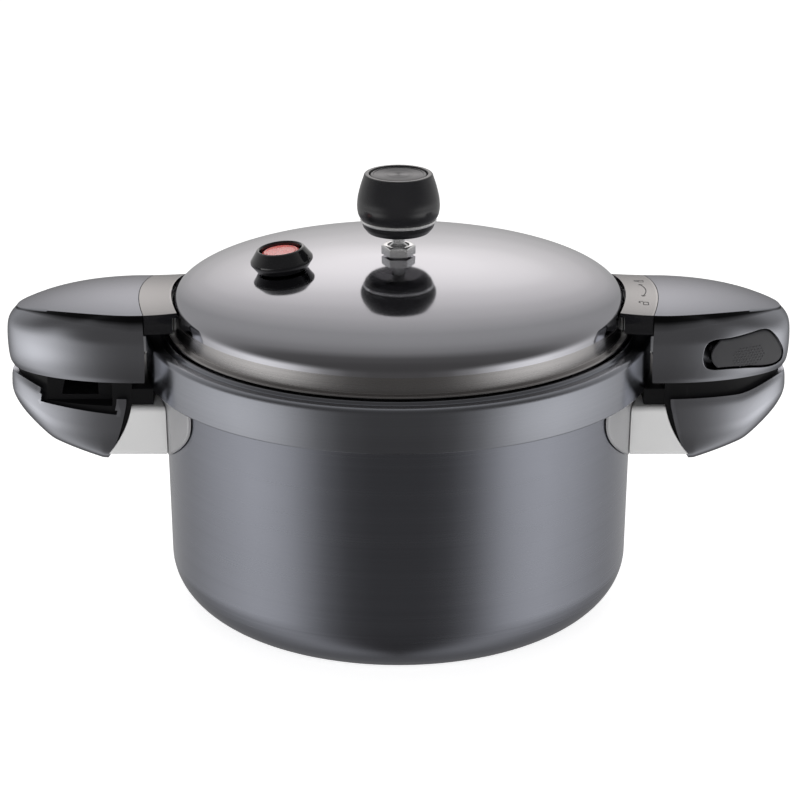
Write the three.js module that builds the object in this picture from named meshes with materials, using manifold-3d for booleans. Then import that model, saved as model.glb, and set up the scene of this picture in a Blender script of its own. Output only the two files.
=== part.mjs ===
// Stovetop pressure cooker with a bayonet lid, built as a scene graph of separate pieces.
// Millimetres, +Z up. The origin is the centre of the flat base, +X runs through the right handle
// and -Y is the side with the lock slide.
import * as THREE from "three";
import { mergeVertices } from "three/addons/utils/BufferGeometryUtils.js";
import Module from "manifold-3d";

const wasm = await Module();
wasm.setup();

// ---- driving dimensions -------------------------------------------------------------------------
const GAP = 0.3; // clearance between pieces that touch
const ROUND = 48; // segments of a large turned piece
const MIDDLE_ROUND = 24; // segments of the weight, the indicator and the handles
const SMALL_ROUND = 16; // segments of a small turned piece

const POT = {
  radiusTop: 105.2,
  radiusLow: 103.7,
  wall: 3,
  floor: 4,
  cornerRadial: 34,
  cornerHeight: 27,
};
const COLLAR = {
  radius: 113.2,
  bottom: 111.8,
  top: 131.6,
  edge: 3.4, // rounding of the outer top edge
  bore: 105.4,
  lip: 105,
  lipTop: 132.4,
  seat: 113.3,
  mouth: 98.5,
};
const LUGS = {
  count: 6,
  spanDeg: 26,
  potInner: 101,
  potBottom: 122,
  potTop: 127,
  lidOuter: 104.7,
  lidBottom: 117.3,
  lidTop: 121.3,
};
const LID = {
  band: 101,
  bandBottom: 132.9,
  shoulder: 141.2,
  apex: 164,
  neck: 99.5,
  skirt: 94.2,
  skirtBottom: 114.5,
  wall: 3,
  radialPower: 1.5,
  heightPower: 3.04,
};
const GASKET = { inner: 94.5, outer: 100.7, bottom: 113.6, top: 117 };

const VENT = {
  boreRadius: 1.2,
  pipeRadius: 2.7,
  threadRadius: 4.5,
  bottom: 148,
  nutBottom: 164.5,
  nutTop: 168.8,
  tip: 188,
  nutAcross: 13.2,
};
const WEIGHT = {
  bottom: 174.2,
  bore: 3.1,
  seat: 188.4,
  core: 12.4,
  coreTop: 196,
  ringZ: 179.6,
  capZ: 181.4,
  dish: 200, // floor of the shallow recess on top that holds the disc
  top: 201.5,
};

const INDICATOR = { x: -51, y: -12, tiltDeg: 6.3, boreRadius: 3.4, stemRadius: 6 };

// The upper handle is widest near the lid and narrows in a pointed half ellipse to its tip.
const UPPER = {
  centreX: 118,
  tipAxis: 57.7,
  lidAxis: 80,
  halfWidth: 30.8,
  bottom: 113.5,
  tipDrop: 5.6,
  lidRise: 1.2, // how much higher the crown is where the cap meets the lid
  lidRiseLength: 15,
  sideTop: 124, // the side is upright up to here, and leans in over the crown's rise above it
  crownRise: 20,
  wall: 3,
  innerRadius: 115.9,
  capBottom: 136.2,
  capInner: 103.2,
  capLip: 101.4, // above the arm's foot the cap reaches further in, to the dome
  capLipBottom: 143.8,
  capOuter: 115.6,
};
const ARM = { bottom: 136.5, top: 139.1, halfWidth: 11, end: 152 };
const LOWER = {
  centreX: 118,
  tipAxis: 56.5,
  potAxis: 90,
  halfWidth: 29.3,
  bottom: 75.2,
  sweepX: 132, // the underside starts to rise here
  sweep: 0.29,
  tipX: 155, // and rises faster from here
  tipSweep: 0.42,
  rim: 105.8,
  rimRise: 5.4,
  shell: 2.6,
  endTopX: 120.5,
  endBottomX: 132,
  endTop: 104,
  endBottom: 75,
  insertTop: 112.2,
};
const NOTCH = { x0: 125, x1: 159, bottom: 99.5, depth: 11 };
const BRACKET = { bottom: 79.1, top: 101.8, halfWidth: 28.5, sheet: 1.6, endTopX: 118.5, endBottomX: 129.5 };
const FLANGE = { thickness: 1.4, bottom: 79, top: 111.3, halfTop: 55, halfBottom: 27 };
const SCREW = { x: 141, headRadius: 4.2, shankRadius: 2.2, holeRadius: 2.6 };
const LOCK = {
  pocketX0: 134,
  pocketX1: 172.4,
  z0: 117.2,
  z1: 132,
  crestX: 161.5, // the pocket's top edge rises to its crest here
  crestRise: 2.6,
  travel: 3,
  pocketDepth: 9.5,
  pocketWall: 1.8,
  backY: -8, // the pocket stays on the front side of this plane, clear of the screw boss
};

// ---- shape helpers ------------------------------------------------------------------------------
function solid(geometry) {
  const bare = geometry.clone();
  bare.deleteAttribute("normal");
  bare.deleteAttribute("uv");
  const merged = mergeVertices(bare, 1e-4);
  return new wasm.Manifold(
    new wasm.Mesh({
      numProp: 3,
      vertProperties: merged.attributes.position.array,
      triVerts: new Uint32Array(merged.index.array),
    }),
  );
}

function geometryOf(body) {
  const mesh = body.getMesh();
  const geometry = new THREE.BufferGeometry();
  geometry.setAttribute("position", new THREE.BufferAttribute(mesh.vertProperties, 3));
  geometry.setIndex(new THREE.BufferAttribute(mesh.triVerts, 1));
  geometry.computeVertexNormals();
  return geometry;
}

function cut(body, ...tools) {
  return tools.reduce((left, tool) => left.subtract(tool), body);
}

function join(...bodies) {
  return bodies.reduce((left, right) => left.add(right));
}

// Turns a profile of [radius, height] pairs round +Z. It runs bottom, outside, top.
function turned(profile, segments = ROUND) {
  const points = profile.map(([radius, height]) => new THREE.Vector2(radius, height));
  return new THREE.LatheGeometry(points, segments).rotateX(Math.PI / 2);
}

function turnedSolid(profile, segments = ROUND) {
  return solid(turned(profile, segments));
}

function disc(radius, z0, z1, segments = SMALL_ROUND) {
  return turnedSolid([[0, z0], [radius, z0], [radius, z1], [0, z1]], segments);
}

function ring(inner, outer, z0, z1, segments = SMALL_ROUND) {
  const section = [[inner, z0], [outer, z0], [outer, z1], [inner, z1], [inner, z0]];
  return turnedSolid(section, segments);
}

function box(x0, x1, y0, y1, z0, z1) {
  const geometry = new THREE.BoxGeometry(x1 - x0, y1 - y0, z1 - z0);
  return solid(geometry.translate((x0 + x1) / 2, (y0 + y1) / 2, (z0 + z1) / 2));
}

// A ring sector between two radii, centred on an angle.
function sector(inner, outer, centreDeg, spanDeg, z0, z1) {
  const start = THREE.MathUtils.degToRad(centreDeg - spanDeg / 2);
  const end = THREE.MathUtils.degToRad(centreDeg + spanDeg / 2);
  const shape = new THREE.Shape();
  shape.absarc(0, 0, outer, start, end, false);
  shape.absarc(0, 0, inner, end, start, true);
  shape.closePath();
  const options = { depth: z1 - z0, bevelEnabled: false, curveSegments: 5 };
  return solid(new THREE.ExtrudeGeometry(shape, options).translate(0, 0, z0));
}

function hexRing(across, inner, z0, z1) {
  const radius = across / Math.sqrt(3);
  const shape = new THREE.Shape();
  for (let corner = 0; corner < 6; corner++) {
    const angle = (corner * Math.PI) / 3;
    shape[corner ? "lineTo" : "moveTo"](radius * Math.cos(angle), radius * Math.sin(angle));
  }
  shape.closePath();
  const options = { depth: z1 - z0, bevelEnabled: false };
  const prism = solid(new THREE.ExtrudeGeometry(shape, options).translate(0, 0, z0));
  return cut(prism, disc(inner, z0 - 1, z1 + 1));
}

// An outline in the XZ plane, extruded along Y between two values.
function sideProfile(shape, y0, y1, curveSegments = 8) {
  const options = { depth: y1 - y0, bevelEnabled: false, curveSegments };
  const geometry = new THREE.ExtrudeGeometry(shape, options).rotateX(Math.PI / 2);
  return solid(geometry.translate(0, y1, 0));
}

function polygon(points) {
  return new THREE.Shape(points.map(([x, z]) => new THREE.Vector2(x, z)));
}

const smooth = THREE.MathUtils.smoothstep;

// ---- pot ----------------------------------------------------------------------------------------
function potRadiusAt(z) {
  const share = (z - POT.cornerHeight) / (COLLAR.bottom - POT.cornerHeight);
  return POT.radiusLow + (POT.radiusTop - POT.radiusLow) * share;
}

// Quarter ellipse from the flat base up to the wall, as [radius, height] pairs.
function potCorner(inset, floor, steps) {
  const centre = POT.radiusLow - POT.cornerRadial;
  const points = [];
  for (let i = 0; i <= steps; i++) {
    const angle = (i / steps) * (Math.PI / 2);
    const radius = centre + (POT.cornerRadial - inset) * Math.sin(angle);
    points.push([radius, POT.cornerHeight - (POT.cornerHeight - floor) * Math.cos(angle)]);
  }
  return points;
}

function potBody() {
  const edge = COLLAR.edge;
  const outside = [
    [0, 0],
    ...potCorner(0, 0, 6),
    [potRadiusAt(COLLAR.bottom), COLLAR.bottom],
    [COLLAR.radius - 0.5, COLLAR.bottom],
    [COLLAR.radius, COLLAR.bottom + 0.5],
    [COLLAR.radius, COLLAR.top - edge],
    [COLLAR.radius - edge * 0.29, COLLAR.top - edge * 0.29],
    [COLLAR.radius - edge, COLLAR.top],
    [COLLAR.lip + 1.2, COLLAR.top],
    [COLLAR.lip + 0.6, COLLAR.lipTop],
    [COLLAR.lip, COLLAR.lipTop],
    [COLLAR.lip, COLLAR.top - 1],
    [COLLAR.bore, COLLAR.top - 1.4],
    [COLLAR.bore, COLLAR.seat],
    [COLLAR.mouth, COLLAR.seat],
    [COLLAR.mouth, COLLAR.seat - 3],
    [potRadiusAt(105) - POT.wall, 106],
  ];
  const inside = [...potCorner(POT.wall, POT.floor, 4).reverse(), [0, POT.floor]];
  let body = turnedSolid([...outside, ...inside]);
  for (let lug = 0; lug < LUGS.count; lug++) {
    const angle = 30 + (lug * 360) / LUGS.count;
    const inner = LUGS.potInner;
    const lugShape = sector(inner, COLLAR.bore + 1, angle, LUGS.spanDeg, LUGS.potBottom, LUGS.potTop);
    body = join(body, lugShape);
  }
  const keeper = box(COLLAR.radius - 3.2, COLLAR.radius + 2, -13.4, -6.6, 121, 128);
  return cut(body, keeper);
}

// A pad that hugs the wall under the collar, wide at the top and narrower below.
function potFlange() {
  const inner = (z) => potRadiusAt(z) + GAP;
  const { thickness, bottom, top } = FLANGE;
  const band = turnedSolid([
    [inner(bottom), bottom],
    [inner(bottom) + thickness, bottom],
    [inner(top) + thickness, top],
    [inner(top), top],
    [inner(bottom), bottom],
  ]);
  const outline = new THREE.Shape();
  outline.moveTo(-FLANGE.halfTop, top);
  outline.lineTo(-FLANGE.halfTop, top - 8);
  outline.quadraticCurveTo(-FLANGE.halfTop, bottom + 12, -FLANGE.halfBottom, bottom);
  outline.lineTo(FLANGE.halfBottom, bottom);
  outline.quadraticCurveTo(FLANGE.halfTop, bottom + 12, FLANGE.halfTop, top - 8);
  outline.lineTo(FLANGE.halfTop, top);
  outline.closePath();
  const options = { depth: 60, bevelEnabled: false, curveSegments: 8 };
  const prism = new THREE.ExtrudeGeometry(outline, options).rotateX(Math.PI / 2).rotateZ(Math.PI / 2);
  return band.intersect(solid(prism.translate(80, 0, 0)));
}

// Everything on the tip side of a curved end that leans outward as it goes down.
function beyondEnd(topX, bottomX, top, bottom) {
  const shape = new THREE.Shape();
  shape.moveTo(topX, top + 30);
  shape.lineTo(topX, top);
  shape.quadraticCurveTo(topX + (bottomX - topX) * 0.18, (top + bottom) / 2, bottomX, bottom);
  shape.lineTo(bottomX + 4, bottom - 12);
  shape.lineTo(260, bottom - 12);
  shape.lineTo(260, top + 30);
  shape.closePath();
  return sideProfile(shape, -60, 60);
}

// A pressed steel sleeve from the flange to the handle, with a tongue that the handle screw pulls on.
function potBracket() {
  const { bottom, top, halfWidth, sheet } = BRACKET;
  const outer = box(90, 140, -halfWidth, halfWidth, bottom, top);
  const inner = box(80, 150, sheet - halfWidth, halfWidth - sheet, bottom + sheet, top - sheet);
  const wall = (z) => potRadiusAt(z) + FLANGE.thickness + 2 * GAP;
  const potSide = turnedSolid([[0, 60], [wall(60), 60], [wall(115), 115], [0, 115]]);
  const sleeve = cut(outer, inner);
  const tongue = join(
    box(100, 117, -halfWidth + 0.5, halfWidth - 0.5, 90, 92.4),
    box(100, 152, -11, 11, 90, 92.4),
  );
  const hole = disc(SCREW.holeRadius, 85, 97).translate([SCREW.x, 0, 0]);
  const end = beyondEnd(BRACKET.endTopX, BRACKET.endBottomX, top, bottom);
  return cut(join(cut(sleeve, end), cut(tongue, hole)), potSide);
}

// ---- handles ------------------------------------------------------------------------------------
// A place on a handle's outline. The power is 2 for an ellipse and less for a more pointed tip.
function outlineShares(angle, power) {
  const bend = Math.cos(angle) > 0 ? 2 / power : 1;
  const share = (value) => Math.sign(value) * Math.abs(value) ** bend;
  return [share(Math.cos(angle)), share(Math.sin(angle))];
}

// Moves the vertices of a turned unit shape. Its profile holds [share, index], where the share is how
// far out from the middle a vertex lies and the index picks the row of the section it belongs to.
function bent(rows, segments, place) {
  const profile = rows.map((row, index) => new THREE.Vector2(row.share, index));
  const geometry = new THREE.LatheGeometry(profile, segments).rotateX(Math.PI / 2);
  const position = geometry.attributes.position;
  for (let i = 0; i < position.count; i++) {
    const row = rows[Math.round(position.getZ(i))];
    const angle = Math.atan2(position.getY(i), position.getX(i));
    const point = place(row, row.share < 1e-6 ? 0 : angle);
    position.setXYZ(i, point.x, point.y, point.z);
  }
  return solid(geometry);
}

// The upper handle's section: how far each height draws in at the tip and at the sides, the power
// of its outline, and its share of the finger groove.
const UPPER_ROWS = [
  { share: 0, tip: 2.3, side: 1.8, z: 113.5, power: 1.85 },
  { share: 1, tip: 2.3, side: 1.8, z: 113.5, power: 1.85 },
  { share: 1, tip: 0.8, side: 0.7, z: 116.5, power: 1.85 },
  { share: 1, tip: 0, side: 0, z: 124, power: 1.85 },
  { share: 1, tip: 0.1, side: 0, z: 132, power: 1.82 },
  { share: 1, tip: 0.7, side: 0.1, z: 137, power: 1.78, groove: 0.75 },
  { share: 1, tip: 1.8, side: 0.2, z: 140.6, power: 1.72, groove: 1 },
  { share: 1, tip: 3.3, side: 0.5, z: 143.4, power: 1.65, groove: 0.35 },
  { share: 1, tip: 4.8, side: 0.8, z: 145.1, power: 1.6 },
  { share: 0.82, tip: 4.8, side: 0.8, z: 146, power: 1.6 },
  { share: 0.5, tip: 4.8, side: 0.8, z: 146.9, power: 1.65 },
  { share: 0, tip: 4.8, side: 0.8, z: 147.2, power: 1.85 },
];
const GROOVE_DEPTH = 2.6;

function upperForm(inset, floor = UPPER.bottom, ceiling = 200) {
  return bent(UPPER_ROWS, MIDDLE_ROUND, (row, angle) => {
    const [along, across] = outlineShares(angle, row.power);
    const axis = along > 0 ? UPPER.tipAxis - row.tip : UPPER.lidAxis;
    const x = UPPER.centreX + row.share * (axis - inset) * along;
    const groove = GROOVE_DEPTH * (row.groove || 0) * (1 - smooth(x, 124, 152));
    const half = UPPER.halfWidth - row.side - inset - groove;
    const tipward = Math.max(0, x - UPPER.centreX) / UPPER.tipAxis;
    const lidward = THREE.MathUtils.clamp((UPPER.centreX - x) / UPPER.lidRiseLength, 0, 1.4);
    const sweep = UPPER.tipDrop * tipward ** 3 - UPPER.lidRise * lidward ** 2;
    const topness = THREE.MathUtils.clamp((row.z - UPPER.sideTop) / UPPER.crownRise, 0, 1);
    const height = row.z - topness ** 2 * sweep - topness * inset;
    const z = Math.min(Math.max(height, floor), ceiling);
    return { x, y: row.share * half * across, z };
  });
}

const LOWER_ROWS = [
  { share: 0, inset: 0, level: 0, power: 2 },
  { share: 0.72, inset: 0, level: 0, power: 2 },
  { share: 0.88, inset: 0, level: 0.06, power: 2 },
  { share: 0.965, inset: 0, level: 0.2, power: 2 },
  { share: 1, inset: 0, level: 0.5, power: 1.95 },
  { share: 1, inset: 0.2, level: 0.85, power: 1.88 },
  { share: 1, inset: 0.7, level: 1, power: 1.85 },
  { share: 0, inset: 0.7, level: 1, power: 1.85 },
];

// The underside is flat near the pot and sweeps up toward the tip.
function lowerBottomAt(x) {
  const sweep = LOWER.sweep * Math.max(0, x - LOWER.sweepX);
  return LOWER.bottom + sweep + LOWER.tipSweep * Math.max(0, x - LOWER.tipX);
}

const lowerRimAt = (x) => LOWER.rim + LOWER.rimRise * smooth(x, 150, 174);

function lowerForm(inset, top) {
  return bent(LOWER_ROWS, MIDDLE_ROUND, (row, angle) => {
    const [along, across] = outlineShares(angle, row.power);
    const axis = along > 0 ? LOWER.tipAxis : LOWER.potAxis;
    const x = LOWER.centreX + row.share * (axis - row.inset - inset) * along;
    const y = row.share * (LOWER.halfWidth - row.inset - inset) * across;
    const bottom = lowerBottomAt(x) + inset;
    const rim = lowerRimAt(x);
    return { x, y, z: row.level < 1 ? bottom + (rim - bottom) * row.level : top || rim };
  });
}

const notchTool = () => box(NOTCH.x0, NOTCH.x1, 0, 45, NOTCH.bottom, 125);

function screwTool(z0, z1, radius = SCREW.holeRadius) {
  return disc(radius, z0, z1).translate([SCREW.x, 0, 0]);
}

// A painted outer shell, open at the top and toward the pot, with a window in one side of its rim.
function potHandle() {
  const end = beyondEnd(LOWER.endTopX, LOWER.endBottomX, LOWER.endTop, LOWER.endBottom);
  const form = lowerForm(0).intersect(end);
  const hollow = lowerForm(LOWER.shell, LOWER.insertTop);
  return cut(form, hollow, notchTool(), screwTool(70, 100, SCREW.headRadius + 0.5));
}

// The black moulding inside the shell. It grips the sleeve and covers the top of it.
function potHandleInsert() {
  const end = beyondEnd(LOWER.endTopX - 2.4, LOWER.endBottomX - 2.4, LOWER.endTop, LOWER.endBottom);
  const core = lowerForm(LOWER.shell + GAP, LOWER.insertTop).intersect(end);
  const half = BRACKET.halfWidth - BRACKET.sheet - GAP;
  const neckEnd = beyondEnd(LOWER.endTopX - 1.6, LOWER.endBottomX - 1.6, LOWER.endTop, LOWER.endBottom);
  const neckBottom = BRACKET.bottom + BRACKET.sheet + GAP;
  const neckTop = BRACKET.top - BRACKET.sheet - GAP;
  const neck = cut(box(112, 135, -half, half, neckBottom, neckTop), neckEnd);
  const lidding = box(108.8, 130, -25, 25, BRACKET.top + GAP, 109.5);
  const potSide = disc(FLANGE.thickness + POT.radiusTop + 3 * GAP, 60, 130, ROUND);
  const outer = BRACKET.halfWidth + GAP;
  const sleeve = cut(
    box(90, 140, -outer, outer, BRACKET.bottom - GAP, BRACKET.top + GAP),
    box(80, 150, -half, half, neckBottom, neckTop),
  );
  const sleeveEnd = beyondEnd(BRACKET.endTopX + GAP, BRACKET.endBottomX + GAP, BRACKET.top, BRACKET.bottom);
  const tongueSlot = join(box(95, 118, -40, 40, 89.7, 92.7), box(95, 153, -11.5, 11.5, 89.7, 92.7));
  const tray = cut(lowerForm(LOWER.shell + 4, 130), box(60, 133, -60, 60, 60, 140)).intersect(
    box(133, 200, -60, 60, 104, 140),
  );
  const fingerY = LOWER.halfWidth - NOTCH.depth - 2;
  const finger = box(NOTCH.x0 + 2, NOTCH.x1 - 2, fingerY, 45, NOTCH.bottom + 1.5, 125);
  return cut(
    join(core, neck, lidding),
    cut(sleeve, sleeveEnd),
    tongueSlot,
    potSide,
    tray,
    finger,
    screwTool(70, 97),
    screwTool(70, 85.5, SCREW.headRadius + GAP),
  );
}

function handleScrew(headBottom, headHeight, top) {
  const { headRadius, shankRadius } = SCREW;
  const crown = headRadius * 0.75;
  const profile = [
    [0, headBottom],
    [crown, headBottom],
    [headRadius, headBottom + 0.8],
    [headRadius, headBottom + headHeight],
    [shankRadius, headBottom + headHeight],
    [shankRadius, top],
    [0, top],
  ];
  const body = turnedSolid(profile, SMALL_ROUND);
  const slotDepth = headBottom + 1.2;
  return cut(
    body,
    box(-0.6, 0.6, -2.6, 2.6, headBottom - 1, slotDepth),
    box(-2.6, 2.6, -0.6, 0.6, headBottom - 1, slotDepth),
  );
}

// The outline of the lock pocket, seen from the front, with a round end toward the lid.
function lockPrism(x0, x1, z0, z1) {
  const radius = (z1 - z0) / 2;
  const shape = new THREE.Shape();
  const crest = z1 + LOCK.crestRise;
  shape.moveTo(x1, z0 + radius);
  shape.quadraticCurveTo(x1 - 2, crest, LOCK.crestX, crest);
  shape.quadraticCurveTo(x0 + 2 * radius, z1 + LOCK.crestRise / 2, x0 + radius, z1);
  shape.absarc(x0 + radius, z0 + radius, radius, Math.PI / 2, (3 * Math.PI) / 2, false);
  shape.lineTo(x1 - 3, z0);
  shape.quadraticCurveTo(x1, z0, x1, z0 + radius);
  shape.closePath();
  return sideProfile(shape, -60, LOCK.backY, 6);
}

function lidHandle(withLock) {
  const inner = UPPER.wall;
  const lidSide = disc(UPPER.innerRadius, 100, 160, ROUND);
  let cavity = cut(upperForm(inner, 100), disc(UPPER.innerRadius + inner, 90, 160, ROUND));
  let body = upperForm(0);
  if (withLock) {
    const wall = LOCK.pocketWall;
    const { pocketX0, pocketX1, z0, z1, pocketDepth } = LOCK;
    const guarded = lockPrism(pocketX0 - wall, pocketX1 + wall, z0 - wall, z1 + wall);
    cavity = cut(cavity, cut(guarded, upperForm(pocketDepth + wall, 90, 190)));
    const pocket = cut(lockPrism(pocketX0, pocketX1, z0, z1), upperForm(pocketDepth, 90, 190));
    body = cut(body, pocket, box(138, 157, -24, -8, 121, 128));
  }
  const armWindow = box(100, 125, -12, 12, ARM.bottom - GAP, ARM.top + 0.9);
  const boltWindow = box(100, 125, -13.2, -6.8, 121.4, 127.6);
  return cut(body, cavity, lidSide, armWindow, ...(withLock ? [boltWindow] : []));
}

// The upper handle's plan outline, drawn in by an inset.
function upperPlan(inset, z0, z1) {
  const { centreX, tipAxis, halfWidth, innerRadius } = UPPER;
  const points = [];
  for (let step = -9; step <= 9; step++) {
    const [along, across] = outlineShares((step / 18) * Math.PI, UPPER_ROWS[0].power);
    points.push([centreX + (tipAxis - inset) * along, (halfWidth - inset) * across]);
  }
  const half = halfWidth - inset;
  const outline = polygon([...points, [innerRadius - 10, half], [innerRadius - 10, -half]]);
  const options = { depth: z1 - z0, bevelEnabled: false };
  return solid(new THREE.ExtrudeGeometry(outline, options).translate(0, 0, z0));
}

// The black cover under the upper handle, with the boss that the handle screw runs through.
function lidHandleBase() {
  const bottom = UPPER.bottom + 0.1;
  const slab = upperPlan(UPPER.wall + 2.6, bottom, bottom + 1.5);
  const boss = disc(6.4, bottom, 136.1).translate([SCREW.x, 0, 0]);
  return cut(
    join(cut(slab, disc(UPPER.innerRadius + UPPER.wall + GAP, 100, 130, ROUND)), boss),
    screwTool(100, 150),
    screwTool(100, 117.8, SCREW.headRadius + GAP),
  );
}

// The separate cap over the arm between the lid and the handle.
function lidHandleCap() {
  const slice = upperForm(0).intersect(box(90, 130, -50, 50, UPPER.capBottom, 160));
  const span = join(
    ring(UPPER.capInner, UPPER.capOuter, 100, 160, ROUND),
    ring(UPPER.capLip, UPPER.capInner + 1, UPPER.capLipBottom, 160, ROUND),
  );
  return cut(
    slice.intersect(span),
    box(90, 130, -13, 13, 130, 141.2),
  );
}

// A steel arm welded to the lid's band.
function lidHandleBracket() {
  const foot = sector(LID.band + GAP, LID.band + 1.9, 0, 20, 134.4, 143.4);
  const arm = box(LID.band + 1, ARM.end, -ARM.halfWidth, ARM.halfWidth, ARM.bottom, ARM.top);
  return join(foot, cut(arm, screwTool(130, 145)));
}

// ---- lid ----------------------------------------------------------------------------------------
function domeProfile(inset, steps) {
  const points = [];
  const rise = LID.apex - LID.shoulder;
  for (let i = 0; i <= steps; i++) {
    const angle = (Math.PI / 2) * (1 - i / steps);
    const radius = (LID.band - inset) * Math.sin(angle) ** (2 / LID.radialPower);
    const height = LID.shoulder + (rise - inset) * Math.cos(angle) ** (2 / LID.heightPower);
    points.push([i === steps ? 0 : radius, height]);
  }
  return points;
}

const domeHeightAt = (radius) =>
  LID.shoulder +
  (LID.apex - LID.shoulder) * (1 - (radius / LID.band) ** LID.radialPower) ** (1 / LID.heightPower);

function lidShell() {
  const underside = domeProfile(LID.wall, 5).reverse();
  const profile = [
    ...underside,
    [LID.band - LID.wall - 4, LUGS.lidTop + 2],
    [LID.skirt - 3, LUGS.lidTop - 2],
    [LID.skirt - 3, LID.skirtBottom],
    [LID.skirt, LID.skirtBottom],
    [LID.skirt, LUGS.lidBottom],
    [LID.neck, LUGS.lidBottom],
    [LID.neck, LID.bandBottom - 1.5],
    [LID.band, LID.bandBottom],
    ...domeProfile(0, 9),
  ];
  let body = turnedSolid(profile);
  for (let lug = 0; lug < LUGS.count; lug++) {
    const angle = 30 + (lug * 360) / LUGS.count;
    const inner = LID.neck - 1.5;
    body = join(body, sector(inner, LUGS.lidOuter, angle, LUGS.spanDeg, LUGS.lidBottom, LUGS.lidTop));
  }
  const indicatorHole = placed(disc(INDICATOR.stemRadius + GAP, -20, 20));
  return cut(body, disc(VENT.threadRadius + GAP, 140, 180), indicatorHole);
}

function lidGasket() {
  const { inner, outer, bottom, top } = GASKET;
  const lead = 0.8;
  return turnedSolid([
    [inner, bottom],
    [outer - lead, bottom],
    [outer, bottom + lead],
    [outer, top],
    [inner, top],
    [inner, bottom],
  ]);
}

// ---- vent and weight ----------------------------------------------------------------------------
function ventPipe() {
  const { boreRadius: bore, pipeRadius, threadRadius, bottom, nutTop, tip } = VENT;
  const profile = [
    [bore, bottom],
    [threadRadius, bottom],
    [threadRadius, nutTop - 0.6],
    [pipeRadius + 0.6, nutTop + 0.3],
    [pipeRadius, nutTop + 1],
    [pipeRadius, tip - 2.2],
    [bore + 0.4, tip],
    [bore, tip],
    [bore, bottom],
  ];
  return turnedSolid(profile, SMALL_ROUND);
}

function ventNut() {
  const { nutAcross, threadRadius, nutBottom, nutTop } = VENT;
  const corner = nutAcross / Math.sqrt(3) + 1;
  const chamfer = turnedSolid(
    [
      [0, nutBottom - 1],
      [corner, nutBottom - 1],
      [corner, nutTop - 1.4],
      [nutAcross / 2 - 0.4, nutTop],
      [0, nutTop],
    ],
    SMALL_ROUND,
  );
  return hexRing(nutAcross, threadRadius + GAP, nutBottom, nutTop).intersect(chamfer);
}

const ventNutLower = () => hexRing(14, VENT.threadRadius + GAP, 156.4, LID.apex - LID.wall - GAP);

// A perforated cap under the lid that keeps food out of the pipe.
function ventFilter() {
  const neck = VENT.threadRadius + GAP;
  let cup = turnedSolid(
    [
      [0, 143],
      [8, 143],
      [9, 144],
      [9, 156.1],
      [neck, 156.1],
      [neck, 155],
      [7.8, 155],
      [7.8, 144.2],
      [0, 144.2],
    ],
    SMALL_ROUND,
  );
  for (let hole = 0; hole < 6; hole++) {
    const angle = (hole * Math.PI) / 3;
    cup = cut(cup, disc(1.2, 140, 147, 10).translate([4.6 * Math.cos(angle), 4.6 * Math.sin(angle), 0]));
  }
  return cup;
}

function weightCore() {
  const { bottom, bore, seat, ringZ, core, coreTop } = WEIGHT;
  return turnedSolid(
    [
      [0, seat],
      [bore, seat],
      [bore, bottom],
      [11, bottom],
      [13.6, bottom + 1],
      [15.6, bottom + 3],
      [16.2, ringZ - GAP],
      [core, ringZ - GAP],
      [core, coreTop],
      [0, coreTop],
    ],
    MIDDLE_ROUND,
  );
}

function weightRing() {
  const { core, ringZ, capZ } = WEIGHT;
  const inner = core + GAP;
  const top = capZ - GAP;
  return turnedSolid(
    [
      [inner, ringZ],
      [16.5, ringZ],
      [16.9, ringZ + 0.7],
      [16.7, top],
      [inner, top],
      [inner, ringZ],
    ],
    MIDDLE_ROUND,
  );
}

function weightCap() {
  const { capZ, top, core, coreTop, dish } = WEIGHT;
  const inner = core + GAP;
  return turnedSolid(
    [
      [0, coreTop + GAP],
      [inner, coreTop + GAP],
      [inner, capZ],
      [16.8, capZ],
      [18, capZ + 2.6],
      [18.4, 186.8],
      [18.1, 190.6],
      [17, 195.4],
      [15.4, dish],
      [14.4, top],
      [inner + GAP, top],
      [inner, dish],
      [0, dish],
    ],
    MIDDLE_ROUND,
  );
}

const weightDisc = () => disc(WEIGHT.core, WEIGHT.dish + GAP, WEIGHT.top - GAP, MIDDLE_ROUND);

// ---- pressure indicator -------------------------------------------------------------------------
// Tilts a piece drawn on the Z axis so that it stands square on the dome at the indicator's place.
function placed(body) {
  const radius = Math.hypot(INDICATOR.x, INDICATOR.y);
  const bearing = THREE.MathUtils.radToDeg(Math.atan2(INDICATOR.y, INDICATOR.x));
  return body
    .rotate([0, INDICATOR.tiltDeg, 0])
    .rotate([0, 0, bearing])
    .translate([INDICATOR.x, INDICATOR.y, domeHeightAt(radius)]);
}

function indicatorHousing() {
  const { boreRadius, stemRadius } = INDICATOR;
  return turnedSolid(
    [
      [boreRadius, -14],
      [stemRadius, -14],
      [stemRadius, 0.6],
      [11.4, 0.6],
      [13.9, 4.2],
      [13.9, 5.2],
      [10.4, 10],
      [9.6, 10.2],
      [9.3, 9.8],
      [8.9, 5],
      [boreRadius, 5],
      [boreRadius, -14],
    ],
    MIDDLE_ROUND,
  );
}

const indicatorNut = () => hexRing(18, INDICATOR.stemRadius + GAP, -8.4, -3.6);

function indicatorPin() {
  const stem = INDICATOR.boreRadius - 0.4;
  const flange = stem + 1.2;
  return turnedSolid(
    [
      [0, -22.4],
      [flange, -22.4],
      [flange, -20.9],
      [stem, -20.9],
      [stem, 5.3],
      [8.3, 5.3],
      [8.3, 7],
      [7.4, 7.6],
      [0, 7.8],
    ],
    MIDDLE_ROUND,
  );
}

const indicatorSeal = () => ring(INDICATOR.boreRadius - 0.1, 5.4, -20.6, -18.6);

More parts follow.
